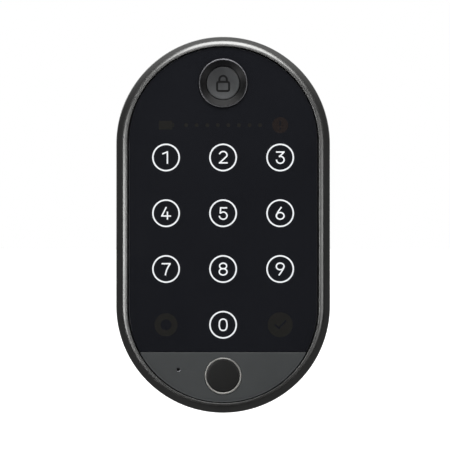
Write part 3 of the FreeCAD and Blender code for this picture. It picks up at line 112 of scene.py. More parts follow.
def gridMesh(grid, closed=(True, True), caps=False):
    # grid[i, j] joined to its neighbours; a closed direction meets its own start, caps fill both ends.
    # Doubled points (poles, unrounded corners) are merged and the faces are turned outwards.
    rows, columns = grid.shape[:2]
    index = np.arange(rows * columns).reshape(rows, columns)
    rim = [index[0][::-1].tolist(), index[-1].tolist()] if caps else []
    if closed[0]:
        index = np.vstack([index, index[:1]])
    if closed[1]:
        index = np.hstack([index, index[:, :1]])
    quads = np.stack([index[:-1, :-1], index[1:, :-1], index[1:, 1:], index[:-1, 1:]], -1).reshape(-1, 4)
    mesh = bpy.data.meshes.new("grid")
    mesh.from_pydata((grid.reshape(-1, 3) * mm).tolist(), [], quads.tolist() + rim)
    return tidyMesh(mesh)


def tidyMesh(mesh, turn=True):
    work = bmesh.new()
    work.from_mesh(mesh)
    bmesh.ops.remove_doubles(work, verts=work.verts, dist=2e-7)
    bmesh.ops.dissolve_degenerate(work, edges=work.edges, dist=1e-7)
    if turn:
        bmesh.ops.recalc_face_normals(work, faces=work.faces)
    work.to_mesh(mesh)
    work.free()
    return mesh


def turned(profile, centre=(0, 0), axis="y", steps=96, closed=True, start=0.0):
    # profile of (radius, place along the axis) turned once round the axis through the centre:
    # across = radius * cos, up = radius * sin. Along y the place is a level, along x or z a coordinate.
    angle = start + np.linspace(0, 2 * math.pi, steps, endpoint=False)[None]
    radius, along = profile[:, :1], profile[:, 1:] + 0 * angle
    first, second = centre[0] + radius * np.cos(angle), centre[1] + radius * np.sin(angle)
    grid = {"y": (first, -along, second), "z": (first, second, along), "x": (along, first, second)}[axis]
    return gridMesh(np.stack(grid, -1), (closed, True))


def rod(radius, low, high, centre, axis="y", steps=64):
    # plain closed cylinder between two places along its axis
    outline = softCorners([(0, low, 0), (radius, low, 0), (radius, high, 0), (0, high, 0)], 2)
    return turned(outline, centre, axis, steps, closed=False)


def joined(meshes):
    # several closed shells in one mesh
    work = bmesh.new()
    for mesh in meshes:
        work.from_mesh(mesh)
        bpy.data.meshes.remove(mesh)
    mesh = bpy.data.meshes.new("joined")
    work.to_mesh(mesh)
    work.free()
    return mesh


def carved(mesh, tools, operation="DIFFERENCE"):
    # exact Boolean of a closed mesh with closed tools, one after the other
    parts = [bpy.data.objects.new("carve", m) for m in (mesh, *tools)]
    for part in parts:
        bpy.context.scene.collection.objects.link(part)
    for tool in parts[1:]:
        step = parts[0].modifiers.new("carve", "BOOLEAN")
        step.operation, step.solver, step.object = operation, "EXACT", tool
    result = bpy.data.meshes.new_from_object(parts[0].evaluated_get(bpy.context.evaluated_depsgraph_get()))
    for part in parts:
        old = part.data
        bpy.data.objects.remove(part)
        bpy.data.meshes.remove(old)
    return tidyMesh(result, turn=False)


def block(low, high):
    # plain box between two corners, as a four-sided section carried along z
    (x0, y0, z0), (x1, y1, z1) = low, high
    section = np.array([(x0, y0), (x1, y0), (x1, y1), (x0, y1)], float)
    grid = np.stack([np.c_[section, np.full(4, z)] for z in (z0, z1)])
    return gridMesh(grid, (False, True), caps=True)


def prism(sides, acrossFlats, centre, levels):
    # regular prism along y for hexagon sockets
    angle = (np.arange(sides) + 0.5) * 2 * math.pi / sides
    radius = acrossFlats / 2 / math.cos(math.pi / sides)
    ring = np.stack([centre[0] + radius * np.cos(angle), centre[1] + radius * np.sin(angle)], -1)
    return gridMesh(np.stack([atLevel(ring, level) for level in levels]), (False, True), caps=True)


def place(name, mesh, body, *replaced, slot=None, look=None, sharp=32, bevel=None):
    # a finished piece, smooth except at edges sharper than an angle. It wears the finish of the slot of the
    # node that it stands for, unless a slot or a look is named
    slot = slot or slotOfNode[replaced[0]]
    mesh.name = name
    mesh.polygons.foreach_set("use_smooth", [True] * len(mesh.polygons))
    mesh.set_sharp_from_angle(angle=math.radians(sharp))
    mesh.materials.clear()
    mesh.materials.append(finishes[look or slot])
    piece = bpy.data.objects.new(name, mesh)
    bpy.context.scene.collection.objects.link(piece)
    if bevel:
        edge = piece.modifiers.new("edge", "BEVEL")
        edge.width, edge.segments, edge.limit_method = bevel * mm, 2, "ANGLE"
        edge.angle_limit = math.radians(sharp)
    piece.modifiers.new("flat", "WEIGHTED_NORMAL").keep_sharp = True
    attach(piece, body)
    if replaced:
        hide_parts(*replaced)
    return piece


def faceValues(piece, field):
    # one row per face: its "center" in metres, or its "normal"
    values = np.empty(3 * len(piece.data.polygons))
    piece.data.polygons.foreach_get(field, values)
    return values.reshape(-1, 3)


# finishes

def finish(name, tones, cloud, grain, rough, relief, metallic=0.0, ior=None, stretch=(1, 1, 1), rings=None,
           wall=None, tracks=None, coat=0.0, glow=None, translucent=None):
    # Clouds of that many mm mix the two tones. A grain of that many mm drives the roughness, from the lowest
    # to the highest, and a bump of that relief in mm. stretch = grain drawn out along an axis, rings =
    # (across, up) in mm of the axis that turning marks go round, wall = levels in mm between which the
    # roughness falls by the third number, tracks = size in mm of a board's cells
    material = bpy.data.materials.new(name)
    material.use_nodes = True
    tree = material.node_tree
    tree.nodes.clear()
    spot = addNode(tree, "ShaderNodeTexCoord").outputs["Object"]
    clouds = addNode(tree, "ShaderNodeTexNoise",
                     {"Vector": spot, "Scale": 1 / (cloud * mm), "Detail": 3.0, "Roughness": 0.55})
    scale = 1 / (grain * mm)
    if rings:
        axis = addNode(tree, "ShaderNodeMapping", {"Vector": spot, "Scale": (1, 0, 1),
                                                   "Location": (-rings[0] * mm, 0, -rings[1] * mm)})
        reach = addNode(tree, "ShaderNodeVectorMath", {0: axis.outputs[0]}, operation="LENGTH")
        grains = addNode(tree, "ShaderNodeTexNoise",
                         {"W": reach.outputs["Value"], "Scale": scale, "Detail": 3.0}, noise_dimensions="1D")
    else:
        drawn = addNode(tree, "ShaderNodeMapping", {"Vector": spot, "Scale": stretch})
        grains = addNode(tree, "ShaderNodeTexNoise", {"Vector": drawn.outputs[0], "Scale": scale,
                                                      "Detail": 4.0, "Roughness": 0.6})
    blend = addNode(tree, "ShaderNodeMapRange",
                    {"Value": clouds.outputs[0], "From Min": 0.35, "From Max": 0.65})
    tone = addNode(tree, "ShaderNodeMix", {0: blend.outputs[0], 6: linear(tones[0]), 7: linear(tones[1])},
                   data_type="RGBA")
    if tracks:
        # copper tracks under the mask: edges of square cells, a little lighter than the rest
        cells = addNode(tree, "ShaderNodeTexVoronoi", {"Vector": spot, "Scale": 1 / (tracks * mm)},
                        distance="MANHATTAN", feature="DISTANCE_TO_EDGE")
        line = addNode(tree, "ShaderNodeMapRange", {"Value": cells.outputs[0], "From Min": 0.05,
                                                    "From Max": 0.12, "To Min": 0.55, "To Max": 0.0})
        tone = addNode(tree, "ShaderNodeMix", {0: line.outputs[0], 6: tone.outputs[2], 7: linear(tones[1])},
                       data_type="RGBA")
    dull = addNode(tree, "ShaderNodeMapRange", {"Value": grains.outputs[0], "From Min": 0.3, "From Max": 0.7,
                                                "To Min": rough[0], "To Max": rough[1]})
    if wall:
        depth = addNode(tree, "ShaderNodeSeparateXYZ", {0: spot})
        extra = addNode(tree, "ShaderNodeMapRange", {"Value": depth.outputs["Y"], "From Min": -wall[1] * mm,
                                                     "From Max": -wall[0] * mm, "To Min": 0.0,
                                                     "To Max": wall[2]}, interpolation_type="SMOOTHSTEP")
        dull = addNode(tree, "ShaderNodeMath", {0: dull.outputs[0], 1: extra.outputs[0]}, operation="ADD")
    plain = {"Base Color": tone.outputs[2], "Roughness": dull.outputs[0], "Metallic": metallic,
             "Coat Weight": coat, "Coat Roughness": 0.1}
    if relief:
        bump = addNode(tree, "ShaderNodeBump", {"Height": grains.outputs[0], "Strength": 1.0,
                                                "Distance": relief * mm})
        plain["Normal"] = bump.outputs[0]
    if ior:
        plain["IOR"] = ior
    if glow:
        plain["Emission Color"] = linear(tones[0])
        plain["Emission Strength"] = glow
    if translucent:
        plain["Subsurface Weight"] = translucent
        plain["Subsurface Radius"] = (1.0, 1.0, 1.0)
        plain["Subsurface Scale"] = 0.5 * mm
    skin = addNode(tree, "ShaderNodeBsdfPrincipled", plain)
    addNode(tree, "ShaderNodeOutputMaterial", {"Surface": skin.outputs[0]})
    return material


finishes = {
    # zinc die casting plated satin black nickel: dark mirror-grey metal, soft-edged highlights, faint ripple.
    # Its wall is blasted before plating, so highlights spread and dim there
    "dark_coating": finish(
        "Satin black nickel on die-cast zinc", ("#80807f", "#7b7b7a"), 14, 0.9, (0.23, 0.27), 0.0001,
        metallic=1.0, wall=(17.0, 19.6, 0.24)),
    # turned brass sprayed gloss black: deep black with sharp small reflections
    "bezel_enamel": finish(
        "Gloss black enamel on turned brass", ("#0e0e0f", "#0b0b0c"), 4, 0.8, (0.18, 0.24), 0.0003, ior=1.28),
    # narrow edge of the enamelled bezel, cut bright after spraying
    "bright_edge": finish(
        "Bright-cut bezel edge", ("#77777a", "#6c6c6f"), 2, 0.25, (0.2, 0.3), 0.0006, metallic=1.0,
        rings=(0, 43.5)),
    # float glass with black screen print behind: deep black, mirror gloss, hint of haze from handling
    "cover_glass": finish(
        "Back-printed float glass", ("#191a1e", "#17181c"), 30, 6, (0.04, 0.08), 0.0, ior=1.52),
    # zinc plate, bead blasted then painted grey: dull satin that hides its grain at arm's length
    "trim_coating": finish(
        "Bead-blasted painted zinc", ("#393c3d", "#353839"), 10, 0.35, (0.42, 0.52), 0.004),
    # rim of the same plate, painted a paler grey line: a painted highlight along its ground edge
    "edge_highlight_paint": finish("Zinc edge painted paler as a highlight", ("#5c5f61", "#4f5254"), 3, 0.3, (0.34, 0.46), 0.002),
    # stainless steel ring, turned and polished: bright narrow line of light with fine turning marks
    "polished_ring": finish(
        "Turned polished stainless steel", ("#d3d1cd", "#c4c3bf"), 4, 0.25, (0.28, 0.38), 0.001,
        metallic=1.0, rings=(0, -46.5)),
    # hard-coated resin over the sensor die: smooth dark grey, half gloss
    "sensor_face": finish("Hard-coated sensor resin", ("#121211", "#10100f"), 3, 0.4, (0.28, 0.36), 0.0008),
    # aluminium cap, fine blasted and anodised dark grey: soft even sheen that brightens towards the light
    "button_face": finish(
        "Blasted anodised aluminium", ("#3f4041", "#3a3b3c"), 3, 0.3, (0.34, 0.42), 0.003, metallic=0.7),
    # cold-rolled steel, zinc plated: pale grey with long rolling streaks
    "plate_steel": finish(
        "Zinc-plated rolled steel", ("#9fa2a4", "#8e9294"), 9, 0.5, (0.3, 0.45), 0.003, metallic=1.0,
        stretch=(1, 1, 0.05)),
    # cold-headed steel, bright zinc: clean grey, slightly uneven shine
    "screw_steel": finish(
        "Bright zinc-plated steel", ("#c8cacd", "#b9bcc0"), 2, 0.4, (0.22, 0.36), 0.002, metallic=1.0),
    # steel screws blackened in a hot oxide bath: near-black, oily sheen
    "black_screw": finish(
        "Black-oxide steel", ("#2b2b2e", "#232326"), 1.5, 0.3, (0.3, 0.42), 0.002, metallic=0.8),
    # hardened and tempered spring steel: warm grey, drawn along its length
    "spring_steel": finish(
        "Tempered spring steel", ("#8d8a86", "#7c7a77"), 1.5, 0.25, (0.25, 0.36), 0.001, metallic=1.0,
        stretch=(1, 0.2, 1)),
    # blanked steel strip, zinc plated: straight rolling lines along the blade, a little uneven
    "blade_steel": finish(
        "Blanked zinc-plated steel", ("#c2c5c8", "#b0b4b8"), 5, 0.35, (0.28, 0.42), 0.003, metallic=1.0,
        stretch=(1, 0.06, 1)),
    # free-cutting brass off a lathe: yellow with fine rings from the tool
    "turned_brass": finish(
        "Turned brass", ("#c9a65c", "#b8944c"), 3, 0.25, (0.2, 0.32), 0.002, metallic=1.0, rings=(0, 0)),
    # brass contact with hard gold plate: warm yellow, smooth
    "gold_contact": finish(
        "Hard gold plate", ("#d9b464", "#cfa858"), 2, 0.35, (0.16, 0.26), 0.001, metallic=1.0),
    # moulded EPDM: matt black with a trace of grey bloom
    "black_rubber": finish("Moulded EPDM rubber", ("#232425", "#272829"), 9, 0.45, (0.6, 0.76), 0.012),
    # acrylic foam tape, die cut: dull dark grey with open cells
    "foam_tape": finish("Die-cut acrylic foam tape", ("#2c2d2f", "#242527"), 2, 0.3, (0.75, 0.9), 0.02),
    # stretched PTFE membrane, dyed black: dull, fibrous
    "membrane": finish(
        "Expanded PTFE membrane", ("#2b2b2a", "#232322"), 0.6, 0.15, (0.7, 0.85), 0.01, stretch=(0.4, 1, 1)),
    # cast polycarbonate diffuser film: milky white, low gloss
    "white_film": finish(
        "Matt polycarbonate film", ("#e9eaea", "#dfe1e2"), 12, 0.4, (0.5, 0.6), 0.002, translucent=0.2),
    # white-pigmented polycarbonate, moulded: opaque white light wells, soft shine
    "baffle_plastic": finish(
        "Moulded white polycarbonate", ("#dfe0dd", "#d5d6d3"), 10, 0.6, (0.4, 0.5), 0.004),
    # black nylon, moulded: dark, spark-eroded texture
    "holder_plastic": finish("Moulded black nylon", ("#1d1e20", "#232426"), 3, 0.4, (0.45, 0.58), 0.008),
    # glass-filled nylon, moulded: charcoal with flow marks and a dry surface
    "collar_plastic": finish("Moulded glass-filled nylon", ("#2e3033", "#36383b"), 7, 0.5, (0.5, 0.66), 0.01),
    # black acetal, moulded: dark with a waxy half shine
    "block_plastic": finish("Moulded black acetal", ("#1b1c1e", "#202123"), 4, 0.5, (0.36, 0.46), 0.004),
    # epoxy-glass board under green solder mask: green with darker tracks showing through
    "green_board": finish(
        "Solder-masked epoxy glass", ("#1d5a38", "#2a7049"), 8, 0.5, (0.28, 0.38), 0.002, tracks=1.6,
        coat=0.4),
    # transfer-moulded epoxy packages: matt charcoal
    "chip_plastic": finish("Moulded epoxy package", ("#26272a", "#2d2e31"), 1.5, 0.25, (0.55, 0.68), 0.006),
    # LED with a pale silicone dome: creamy white
    "led_plastic": finish(
        "Silicone-filled LED package", ("#ece4c6", "#e2d8b4"), 0.6, 0.2, (0.3, 0.4), 0.001, translucent=0.15),
    # cream connector nylon, moulded
    "connector_plastic": finish(
        "Moulded cream nylon", ("#d8cfb4", "#cdc3a6"), 2.5, 0.35, (0.45, 0.55), 0.005),
    # tinned steel can, drawn: silvery with a faint ripple
    "tinned_steel": finish(
        "Drawn tinned steel", ("#c3c6c8", "#b2b5b8"), 3, 1.2, (0.22, 0.34), 0.004, metallic=1.0),
    # polyimide flexible circuit: clear amber, glossy
    "amber_film": finish(
        "Polyimide flexible circuit", ("#b4701f", "#9c5c16"), 2, 0.4, (0.22, 0.32), 0.001, tracks=0.5),
    # white enamel ink fired on the glass and lit from behind: even bright white
    "lit_ink": finish("Backlit white enamel", ("#b5b7b9", "#b0b2b4"), 2, 0.3, (0.3, 0.4), 0.0, glow=0.88),
    # unlit legends under smoked ink: barely lighter than the glass, faintly brown
    "dead_ink": finish("Smoked dead-front ink", ("#222120", "#20201e"), 1.2, 0.3, (0.06, 0.12), 0.0),
    # the same ink over the fault mark's red window, so its brown leans to red
    "red_ink": finish("Smoked ink over red window", ("#241f1e", "#221d1c"), 1.2, 0.3, (0.06, 0.12), 0.0),
    # black epoxy wiped into an engraving: dark, low shine
    "fill_ink": finish(
        "Engraving filled with black epoxy", ("#0e0e0f", "#0b0b0c"), 0.8, 0.2, (0.65, 0.8), 0.004, ior=1.3),
}
print("finishes made:", len(finishes))

slotOfNode = {part["node"]: part["material_slot"] for part in frame["record"]["subparts"]}
for name, node in nodes.items():
    slot = slotOfNode[name]
    if node.material_slots:
        node.material_slots[0].material = finishes[slot]
    else:
        node.data.materials.append(finishes[slot])
print("inner nodes finished")


# housing: one section carried round a stadium

housing = {
    "halfWidth": 33.0, "halfHeight": 58.0, "rimFront": 22.0, "rear": 1.0,
    "rimSide": 3.75, "rimEnd": 3.2, "outerSide": 2.78, "outerEnd": 2.6, "innerSide": 0.42, "innerEnd": 0.1,
    "windowSide": 5.25, "windowEnd": 4.7, "ledgeFront": 18.5, "ledgeRear": 17.0,
    "wall": 3.5, "recess": 2.2, "plateFront": 3.0, "rearEdge": 0.25,
}
# screw bosses, ears that hold the board, bar between glass and trim, and the opening for the contacts
bosses = {"width": 6.4, "thread": 3.0, "x": 17.1, "from": 3.0, "to": 17.75}
ears = {"x": 28.2, "reach": 2.65, "width": 4.4, "pitch": 20.0, "from": 15.4, "to": 18.4}
bar = {"low": (-25.6, -18.5, -40.0), "high": (25.6, -17.0, -36.6)}
opening = {"low": (-10.6, -12.6, -60.0), "high": (10.6, -4.8, -51.0)}


def stadiumWay(arc=112, side=10):
    # once round a stadium: outward direction (cos, sin) and c, which runs from -1 at the lower end's
    # centre to 1 at the upper end's
    turn = np.linspace(0, math.pi, arc)
    up, down = np.linspace(-1, 1, side + 2)[1:-1], np.linspace(1, -1, side + 2)[1:-1]
    outX = np.r_[np.cos(turn), np.full(side, -1.0), -np.cos(turn), np.full(side, 1.0)]
    outZ = np.r_[np.sin(turn), np.zeros(side), -np.sin(turn), np.zeros(side)]
    centre = np.r_[np.ones(arc), down, -np.ones(arc), up]
    return outX, outZ, centre


def carriedSection(halfWidth, halfHeight, sideSection, endSection, way):
    # x = w * cos, z = (h - w) * c + w * sin, where w and h shrink by the section's inset at the side and
    # at the end, and the level passes from the side's to the end's with |sin|
    outX, outZ, c = (v[None] for v in way)
    w, h = halfWidth - sideSection[:, :1], halfHeight - endSection[:, :1]
    level = sideSection[:, 1:] * (1 - np.abs(outZ)) + endSection[:, 1:] * np.abs(outZ)
    return gridMesh(np.stack([w * outX, -level, (h - w) * c + w * outZ], -1))


def housingSection(rim, outer, inner, window):
    k = housing
    return softCorners([
        (0, k["rear"], k["rearEdge"]), (0, k["rimFront"], outer), (rim, k["rimFront"], inner),
        (rim, k["ledgeFront"], 0.1), (window, k["ledgeFront"], 0.1), (window, k["ledgeRear"], 0.1),
        (k["wall"], k["ledgeRear"], 0.1), (k["wall"], k["plateFront"], 0.1),
        (k["recess"], k["plateFront"], 0.1), (k["recess"], k["rear"], 0.1)], 14)


sections = [housingSection(*(housing[part + at] for part in ("rim", "outer", "inner", "window")))
            for at in ("Side", "End")]
shell = carriedSection(housing["halfWidth"], housing["halfHeight"], *sections, stadiumWay())
shell = carved(shell, [block(opening["low"], opening["high"])])
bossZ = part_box("back_plate_screws")[1].z / mm - 3.0
thread, width = bosses["thread"] / 2, bosses["width"] / 2
tube = softCorners([(thread, bosses["from"], 0.0), (width, bosses["from"], 0.2), (width, bosses["to"], 0.0),
                    (thread, bosses["to"], 0.0)], 3)
parts = [turned(tube, (sx * bosses["x"], sz * bossZ), steps=32) for sx in (-1, 1) for sz in (-1, 1)]
for x in (-ears["x"], ears["x"]):
    for z in (-ears["pitch"], 0.0, ears["pitch"]):
        parts.append(block((x - ears["reach"], -ears["to"], z - ears["width"] / 2),
                           (x + ears["reach"], -ears["from"], z + ears["width"] / 2)))
parts.append(block(bar["low"], bar["high"]))
place("housingShell", joined([shell, *parts]), "unit", "housing", sharp=38)
print("housing made")


# cover glass and metal trim: a section carried round a pane, with a round hole

panes = {
    "halfWidth": 29.05, "halfHeight": 54.6, "glassBottom": -39.05, "trimTop": -39.2,
    "glassFront": 20.8, "trimFront": 20.9, "rear": 18.8, "glassGround": 0.1, "trimGround": 0.2,
    "buttonHole": 12.2, "buttonZ": 43.5, "holeEdge": 0.12, "ringHole": 11.45, "sensorZ": -46.5,
}
vent = {"x": -13.8, "z": -44.6, "width": 0.65, "dimple": 1.35, "sink": 0.14}
trimBosses = {"x": 9.6, "width": 4.4, "thread": 1.6, "from": 16.9, "to": 19.0}


def paneLoop(inset, edge, lower, arc=72, side=8):
    # stadium cut straight across at z = edge, all of it moved inwards by the inset; the cut meets the
    # lower arc where sin = (arc centre - edge) / radius. Lower panes keep what is below the cut.
    radius, centre = panes["halfWidth"] - inset, panes["halfHeight"] - panes["halfWidth"]
    cut = edge - inset if lower else edge + inset
    sine = (-centre - cut) / radius
    corner = math.asin(sine)
    if lower:
        turn = np.linspace(-math.pi + corner, -corner, 2 * arc)
        x, z = radius * np.cos(turn), -centre + radius * np.sin(turn)
        flat = np.linspace(x[-1], x[0], side + 2)[1:-1]
        return np.stack([np.r_[x, flat], np.r_[z, np.full(side, cut)]], -1)
    right, left = np.linspace(-corner, 0, arc // 3), np.linspace(math.pi, math.pi + corner, arc // 3)
    top = np.linspace(0, math.pi, 2 * arc)
    rise, fall = np.linspace(-centre, centre, side + 2)[1:-1], np.linspace(centre, -centre, side + 2)[1:-1]
    x = np.r_[radius * np.cos(right), np.full(side, radius), radius * np.cos(top), np.full(side, -radius),
              radius * np.cos(left)]
    z = np.r_[-centre + radius * np.sin(right), rise, centre + radius * np.sin(top), fall,
              -centre + radius * np.sin(left)]
    flat = np.linspace(x[-1], x[0], side + 2)[1:-1]
    return np.stack([np.r_[x, flat], np.r_[z, np.full(side, cut)]], -1)


def pane(edge, lower, front, ground, holeWidth, holeZ):
    # rows up the ground edge and over the front to the hole, then down it to the rear; each hole point lies
    # on the line from the hole's centre to its outline point
    rear, chamfer = panes["rear"], panes["holeEdge"]
    rows = [atLevel(paneLoop(inset, edge, lower), level) for inset, level in [
        (0.0, rear), (0.0, front - ground), (0.3 * ground, front - 0.42 * ground),
        (ground, front - 0.06 * ground), (1.5 * ground, front)]]
    centre = np.array([0.0, holeZ])
    away = unit(paneLoop(0.0, edge, lower) - centre)
    rows += [atLevel(centre + away * radius, level) for radius, level in [
        (holeWidth / 2 + chamfer, front), (holeWidth / 2, front - chamfer), (holeWidth / 2, rear)]]
    return gridMesh(np.stack(rows))


k = panes
glass = pane(k["glassBottom"], False, k["glassFront"], k["glassGround"], k["buttonHole"], k["buttonZ"])
place("coverGlass", glass, "unit", "keypad_glass", sharp=25)

trim = pane(k["trimTop"], True, k["trimFront"], k["trimGround"], k["ringHole"], k["sensorZ"])
hole, dimple = vent["width"] / 2, vent["dimple"] / 2
sink = softCorners([(0, 21.5, 0), (dimple + 0.1, 21.5, 0), (dimple, k["trimFront"], 0),
                    (hole, k["trimFront"] - vent["sink"], 0.03), (hole, 18.0, 0), (0, 18.0, 0)], 3)
trim = carved(trim, [turned(sink, (vent["x"], vent["z"]), steps=32, closed=False)])
thread, width = trimBosses["thread"] / 2, trimBosses["width"] / 2
tube = softCorners([(thread, trimBosses["from"], 0), (width, trimBosses["from"], 0.1),
                    (width, trimBosses["to"], 0), (thread, trimBosses["to"], 0)], 3)
tubes = [turned(tube, (side * trimBosses["x"], k["sensorZ"]), steps=32) for side in (-1, 1)]
trim = joined([trim, *tubes])
trim = place("sensorTrim", trim, "unit", "sensor_trim", sharp=25)
# the ground rim is painted paler, a painted highlight, and the vent's sink is cut bright
trim.data.materials.append(finishes["edge_highlight_paint"])
trim.data.materials.append(finishes["bright_edge"])
middles, lean = faceValues(trim, "center") / mm, -faceValues(trim, "normal")[:, 1]
sloped = (-middles[:, 1] > k["trimFront"] - 1.1 * k["trimGround"]) & (lean > 0.1) & (lean < 0.999)
atVent = np.hypot(middles[:, 0] - vent["x"], middles[:, 2] - vent["z"]) < 1.5
atRim = (np.hypot(middles[:, 0], middles[:, 2] - k["sensorZ"]) > 6.5) & (middles[:, 2] < k["trimTop"] - 0.5)
# slot 1 paints the ground rim paler as a highlight, slot 2 is the vent's bright-cut sink
slots = np.where(sloped & atVent, 2, sloped & atRim)
trim.data.polygons.foreach_set("material_index", slots.astype(np.int32))
print("glass and trim made")


# key legends: flat strokes along a path, square ended

legends = {
    "keyX": 17.56, "rows": (20.73, 3.57, -13.59, -30.75), "ringMiddle": 8.08, "ringStroke": 0.46,
    "digitStroke": 0.43, "from": 20.75, "to": 20.815, "statusZ": 30.67, "dotPitch": 3.25, "dot": 1.2,
    "faintTo": 20.807,
}


def run(*points):
    return np.array(points, float)


def bow(cx, cz, rx, rz, start, end, count=40):
    # part of an ellipse between two angles in degrees
    t = np.radians(np.linspace(start, end, count))
    return np.stack([cx + rx * np.cos(t), cz + rz * np.sin(t)], -1)


def pull(a, b, c, count=28):
    # quadratic curve from a to c that leans towards b
    t = np.linspace(0, 1, count)[:, None]
    return (1 - t) ** 2 * run(a) + 2 * t * (1 - t) * run(b) + t ** 2 * run(c)


def stroke(path, width, low, high, at=(0, 0), loop=False):
    # each path point gets a left and right point half a width along the mitred normal, at both levels
    path = path + np.array(at, float)
    step = np.roll(path, -1, 0) - path
    if not loop:
        step[-1] = step[-2]
    step = unit(step)
    normal = np.stack([-step[:, 1], step[:, 0]], -1)
    before = np.roll(normal, 1, 0)
    if not loop:
        before[0] = normal[0]
    mitre = unit(normal + before)
    mitre /= np.maximum((mitre * normal).sum(1, keepdims=True), 0.6)
    left, right = path + mitre * width / 2, path - mitre * width / 2
    grid = np.stack([atLevel(left, low), atLevel(right, low), atLevel(right, high), atLevel(left, high)], 1)
    return gridMesh(grid, (loop, True), caps=not loop)


def squared(rx, rz, power, count=64):
    # superellipse: |x / rx| ^ power + |z / rz| ^ power = 1
    t = np.linspace(0, 2 * math.pi, count, endpoint=False)
    circle = np.stack([np.cos(t), np.sin(t)], -1)
    return (rx, rz) * np.sign(circle) * np.abs(circle) ** (2 / power)


# each digit's strokes in mm from its middle, and whether the path closes
six = [(bow(0, -0.8, 1.19, 1.02, 0, 353, 56), True),
       (pull((0.42, 1.93), (-0.95, 0.25), (-1.17, -0.85)), False)]
digits = {
    "1": [(run((-1.15, 1.08), (0.42, 1.72)), False), (run((0.42, 1.93), (0.42, -1.93)), False)],
    "2": [(np.vstack([bow(0.03, 0.76, 1.17, 1.07, 168, -22, 40), run((-1.02, -1.6))]), False),
          (run((-1.32, -1.66), (1.42, -1.66)), False)],
    "3": [(run((-1.28, 1.68), (1.36, 1.68)), False), (run((1.13, 1.6), (-0.36, 0.16)), False),
          (bow(0.03, -0.72, 1.17, 1.07, 113, -182, 48), False)],
    "4": [(run((0.12, 1.95), (-1.3, -0.82)), False), (run((-1.5, -0.85), (1.54, -0.85)), False),
          (run((0.43, 0.52), (0.43, -1.95)), False)],
    "5": [(run((-0.95, 1.66), (1.27, 1.66)), False), (run((-0.76, 1.8), (-0.88, -0.1)), False),
          (bow(0.03, -0.74, 1.18, 1.1, 142, -178, 48), False)],
    "6": six,
    "7": [(run((-1.38, 1.64), (1.45, 1.64)), False), (pull((1.24, 1.62), (0.0, -0.2), (-0.2, -1.95)), False)],
    "8": [(bow(0, 0.93, 1.08, 0.86, 0, 354, 56), True), (bow(0, -0.86, 1.2, 0.98, 0, 354, 56), True)],
    "9": [(-path, loop) for path, loop in six],
    "0": [(squared(1.18, 1.74, 2.5), True)],
}


def legend(strokes, at, high, width):
    # the strokes of one legend, united where they cross
    parts = [stroke(path, width, legends["from"], high, at, loop) for path, loop in strokes]
    return parts[0] if len(parts) == 1 else carved(parts[0], parts[1:], "UNION")


def ringBand(middle, width, high, at):
    inner, outer, low = middle / 2 - width / 2, middle / 2 + width / 2, legends["from"]
    return turned(softCorners([(inner, low, 0), (outer, low, 0), (outer, high, 0), (inner, high, 0)], 2), at)


keyPlaces = {str(3 * row + column + 1): ((column - 1) * legends["keyX"], legends["rows"][row])
             for row in range(3) for column in range(3)}
keyPlaces["0"] = (0.0, legends["rows"][3])
for digit, at in keyPlaces.items():
    mark = joined([ringBand(legends["ringMiddle"], legends["ringStroke"], legends["to"], at),
                   legend(digits[digit], at, legends["to"], legends["digitStroke"])])
    place("keyLegend" + digit, mark, "unit", slot="white_film", look="lit_ink")

# unlit marks: battery, row of dots, fault disc, settings ring and tick disc, all plain signs
x, z, low, top = legends["keyX"], legends["statusZ"], legends["rows"][3], legends["faintTo"]
under = legends["from"]
faint = {
    "batteryMark": joined([stroke(run((-x - 2.2, z), (-x + 1.9, z)), 2.7, under, top),
                           stroke(run((-x + 2.0, z), (-x + 2.5, z)), 1.2, under, top)]),
    "statusDots": joined([rod(legends["dot"] / 2, under, top, ((n - 3.5) * legends["dotPitch"], z), steps=24)
                          for n in range(8)]),
    "faultMark": carved(rod(2.45, under, top, (x, z), steps=48),
                        [stroke(run((x, z + 1.5), (x, z - 0.2)), 0.5, 20.0, 21.5),
                         stroke(run((x, z - 0.9), (x, z - 1.4)), 0.5, 20.0, 21.5)]),
    "settingsMark": ringBand(5.2, 1.9, top, (-x, low)),
    "tickMark": carved(rod(3.85, under, top, (x, low), steps=48),
                       [stroke(run((x - 1.7, low + 0.1), (x - 0.4, low - 1.1), (x + 1.8, low + 1.3)),
                               0.55, 20.0, 21.5)]),
}
for name, mesh in faint.items():
    place(name, mesh, "unit", slot="cover_glass", look="red_ink" if name == "faultMark" else "dead_ink")
print("legends made:", len(keyPlaces) + len(faint))


# fingerprint sensor, its ring, button and bezel

sensor = {
    "z": -46.5, "bore": 5.1, "ring": 5.675, "ringFront": 21.05, "outerEdge": 0.09, "innerEdge": 0.16,
    "flange": 6.3, "flangeRear": 17.7, "flangeFront": 18.5,
    "face": 5.05, "faceFront": 20.85, "faceEdge": 0.45, "base": 6.0, "baseRear": 16.9,
}
k = sensor
band = softCorners([
    (k["bore"], k["flangeRear"], 0.0), (k["flange"], k["flangeRear"], 0.1),
    (k["flange"], k["flangeFront"], 0.1), (k["ring"], k["flangeFront"], 0.0),
    (k["ring"], k["ringFront"], k["outerEdge"]), (k["bore"], k["ringFront"], k["innerEdge"])], 8)
place("sensorRing", turned(band, (0, k["z"]), steps=128), "unit", "sensor_ring", sharp=40)
die = softCorners([
    (0, k["baseRear"], 0), (k["base"], k["baseRear"], 0.1), (k["base"], k["flangeRear"], 0.1),
    (k["face"], k["flangeRear"], 0.0), (k["face"], k["faceFront"] - 0.05, 0.12),
    (k["face"] - k["faceEdge"], k["faceFront"], 0.0), (0, k["faceFront"], 0.0)], 5)
place("fingerprintFace", turned(die, (0, k["z"]), closed=False), "unit", "fingerprint_sensor", sharp=30)

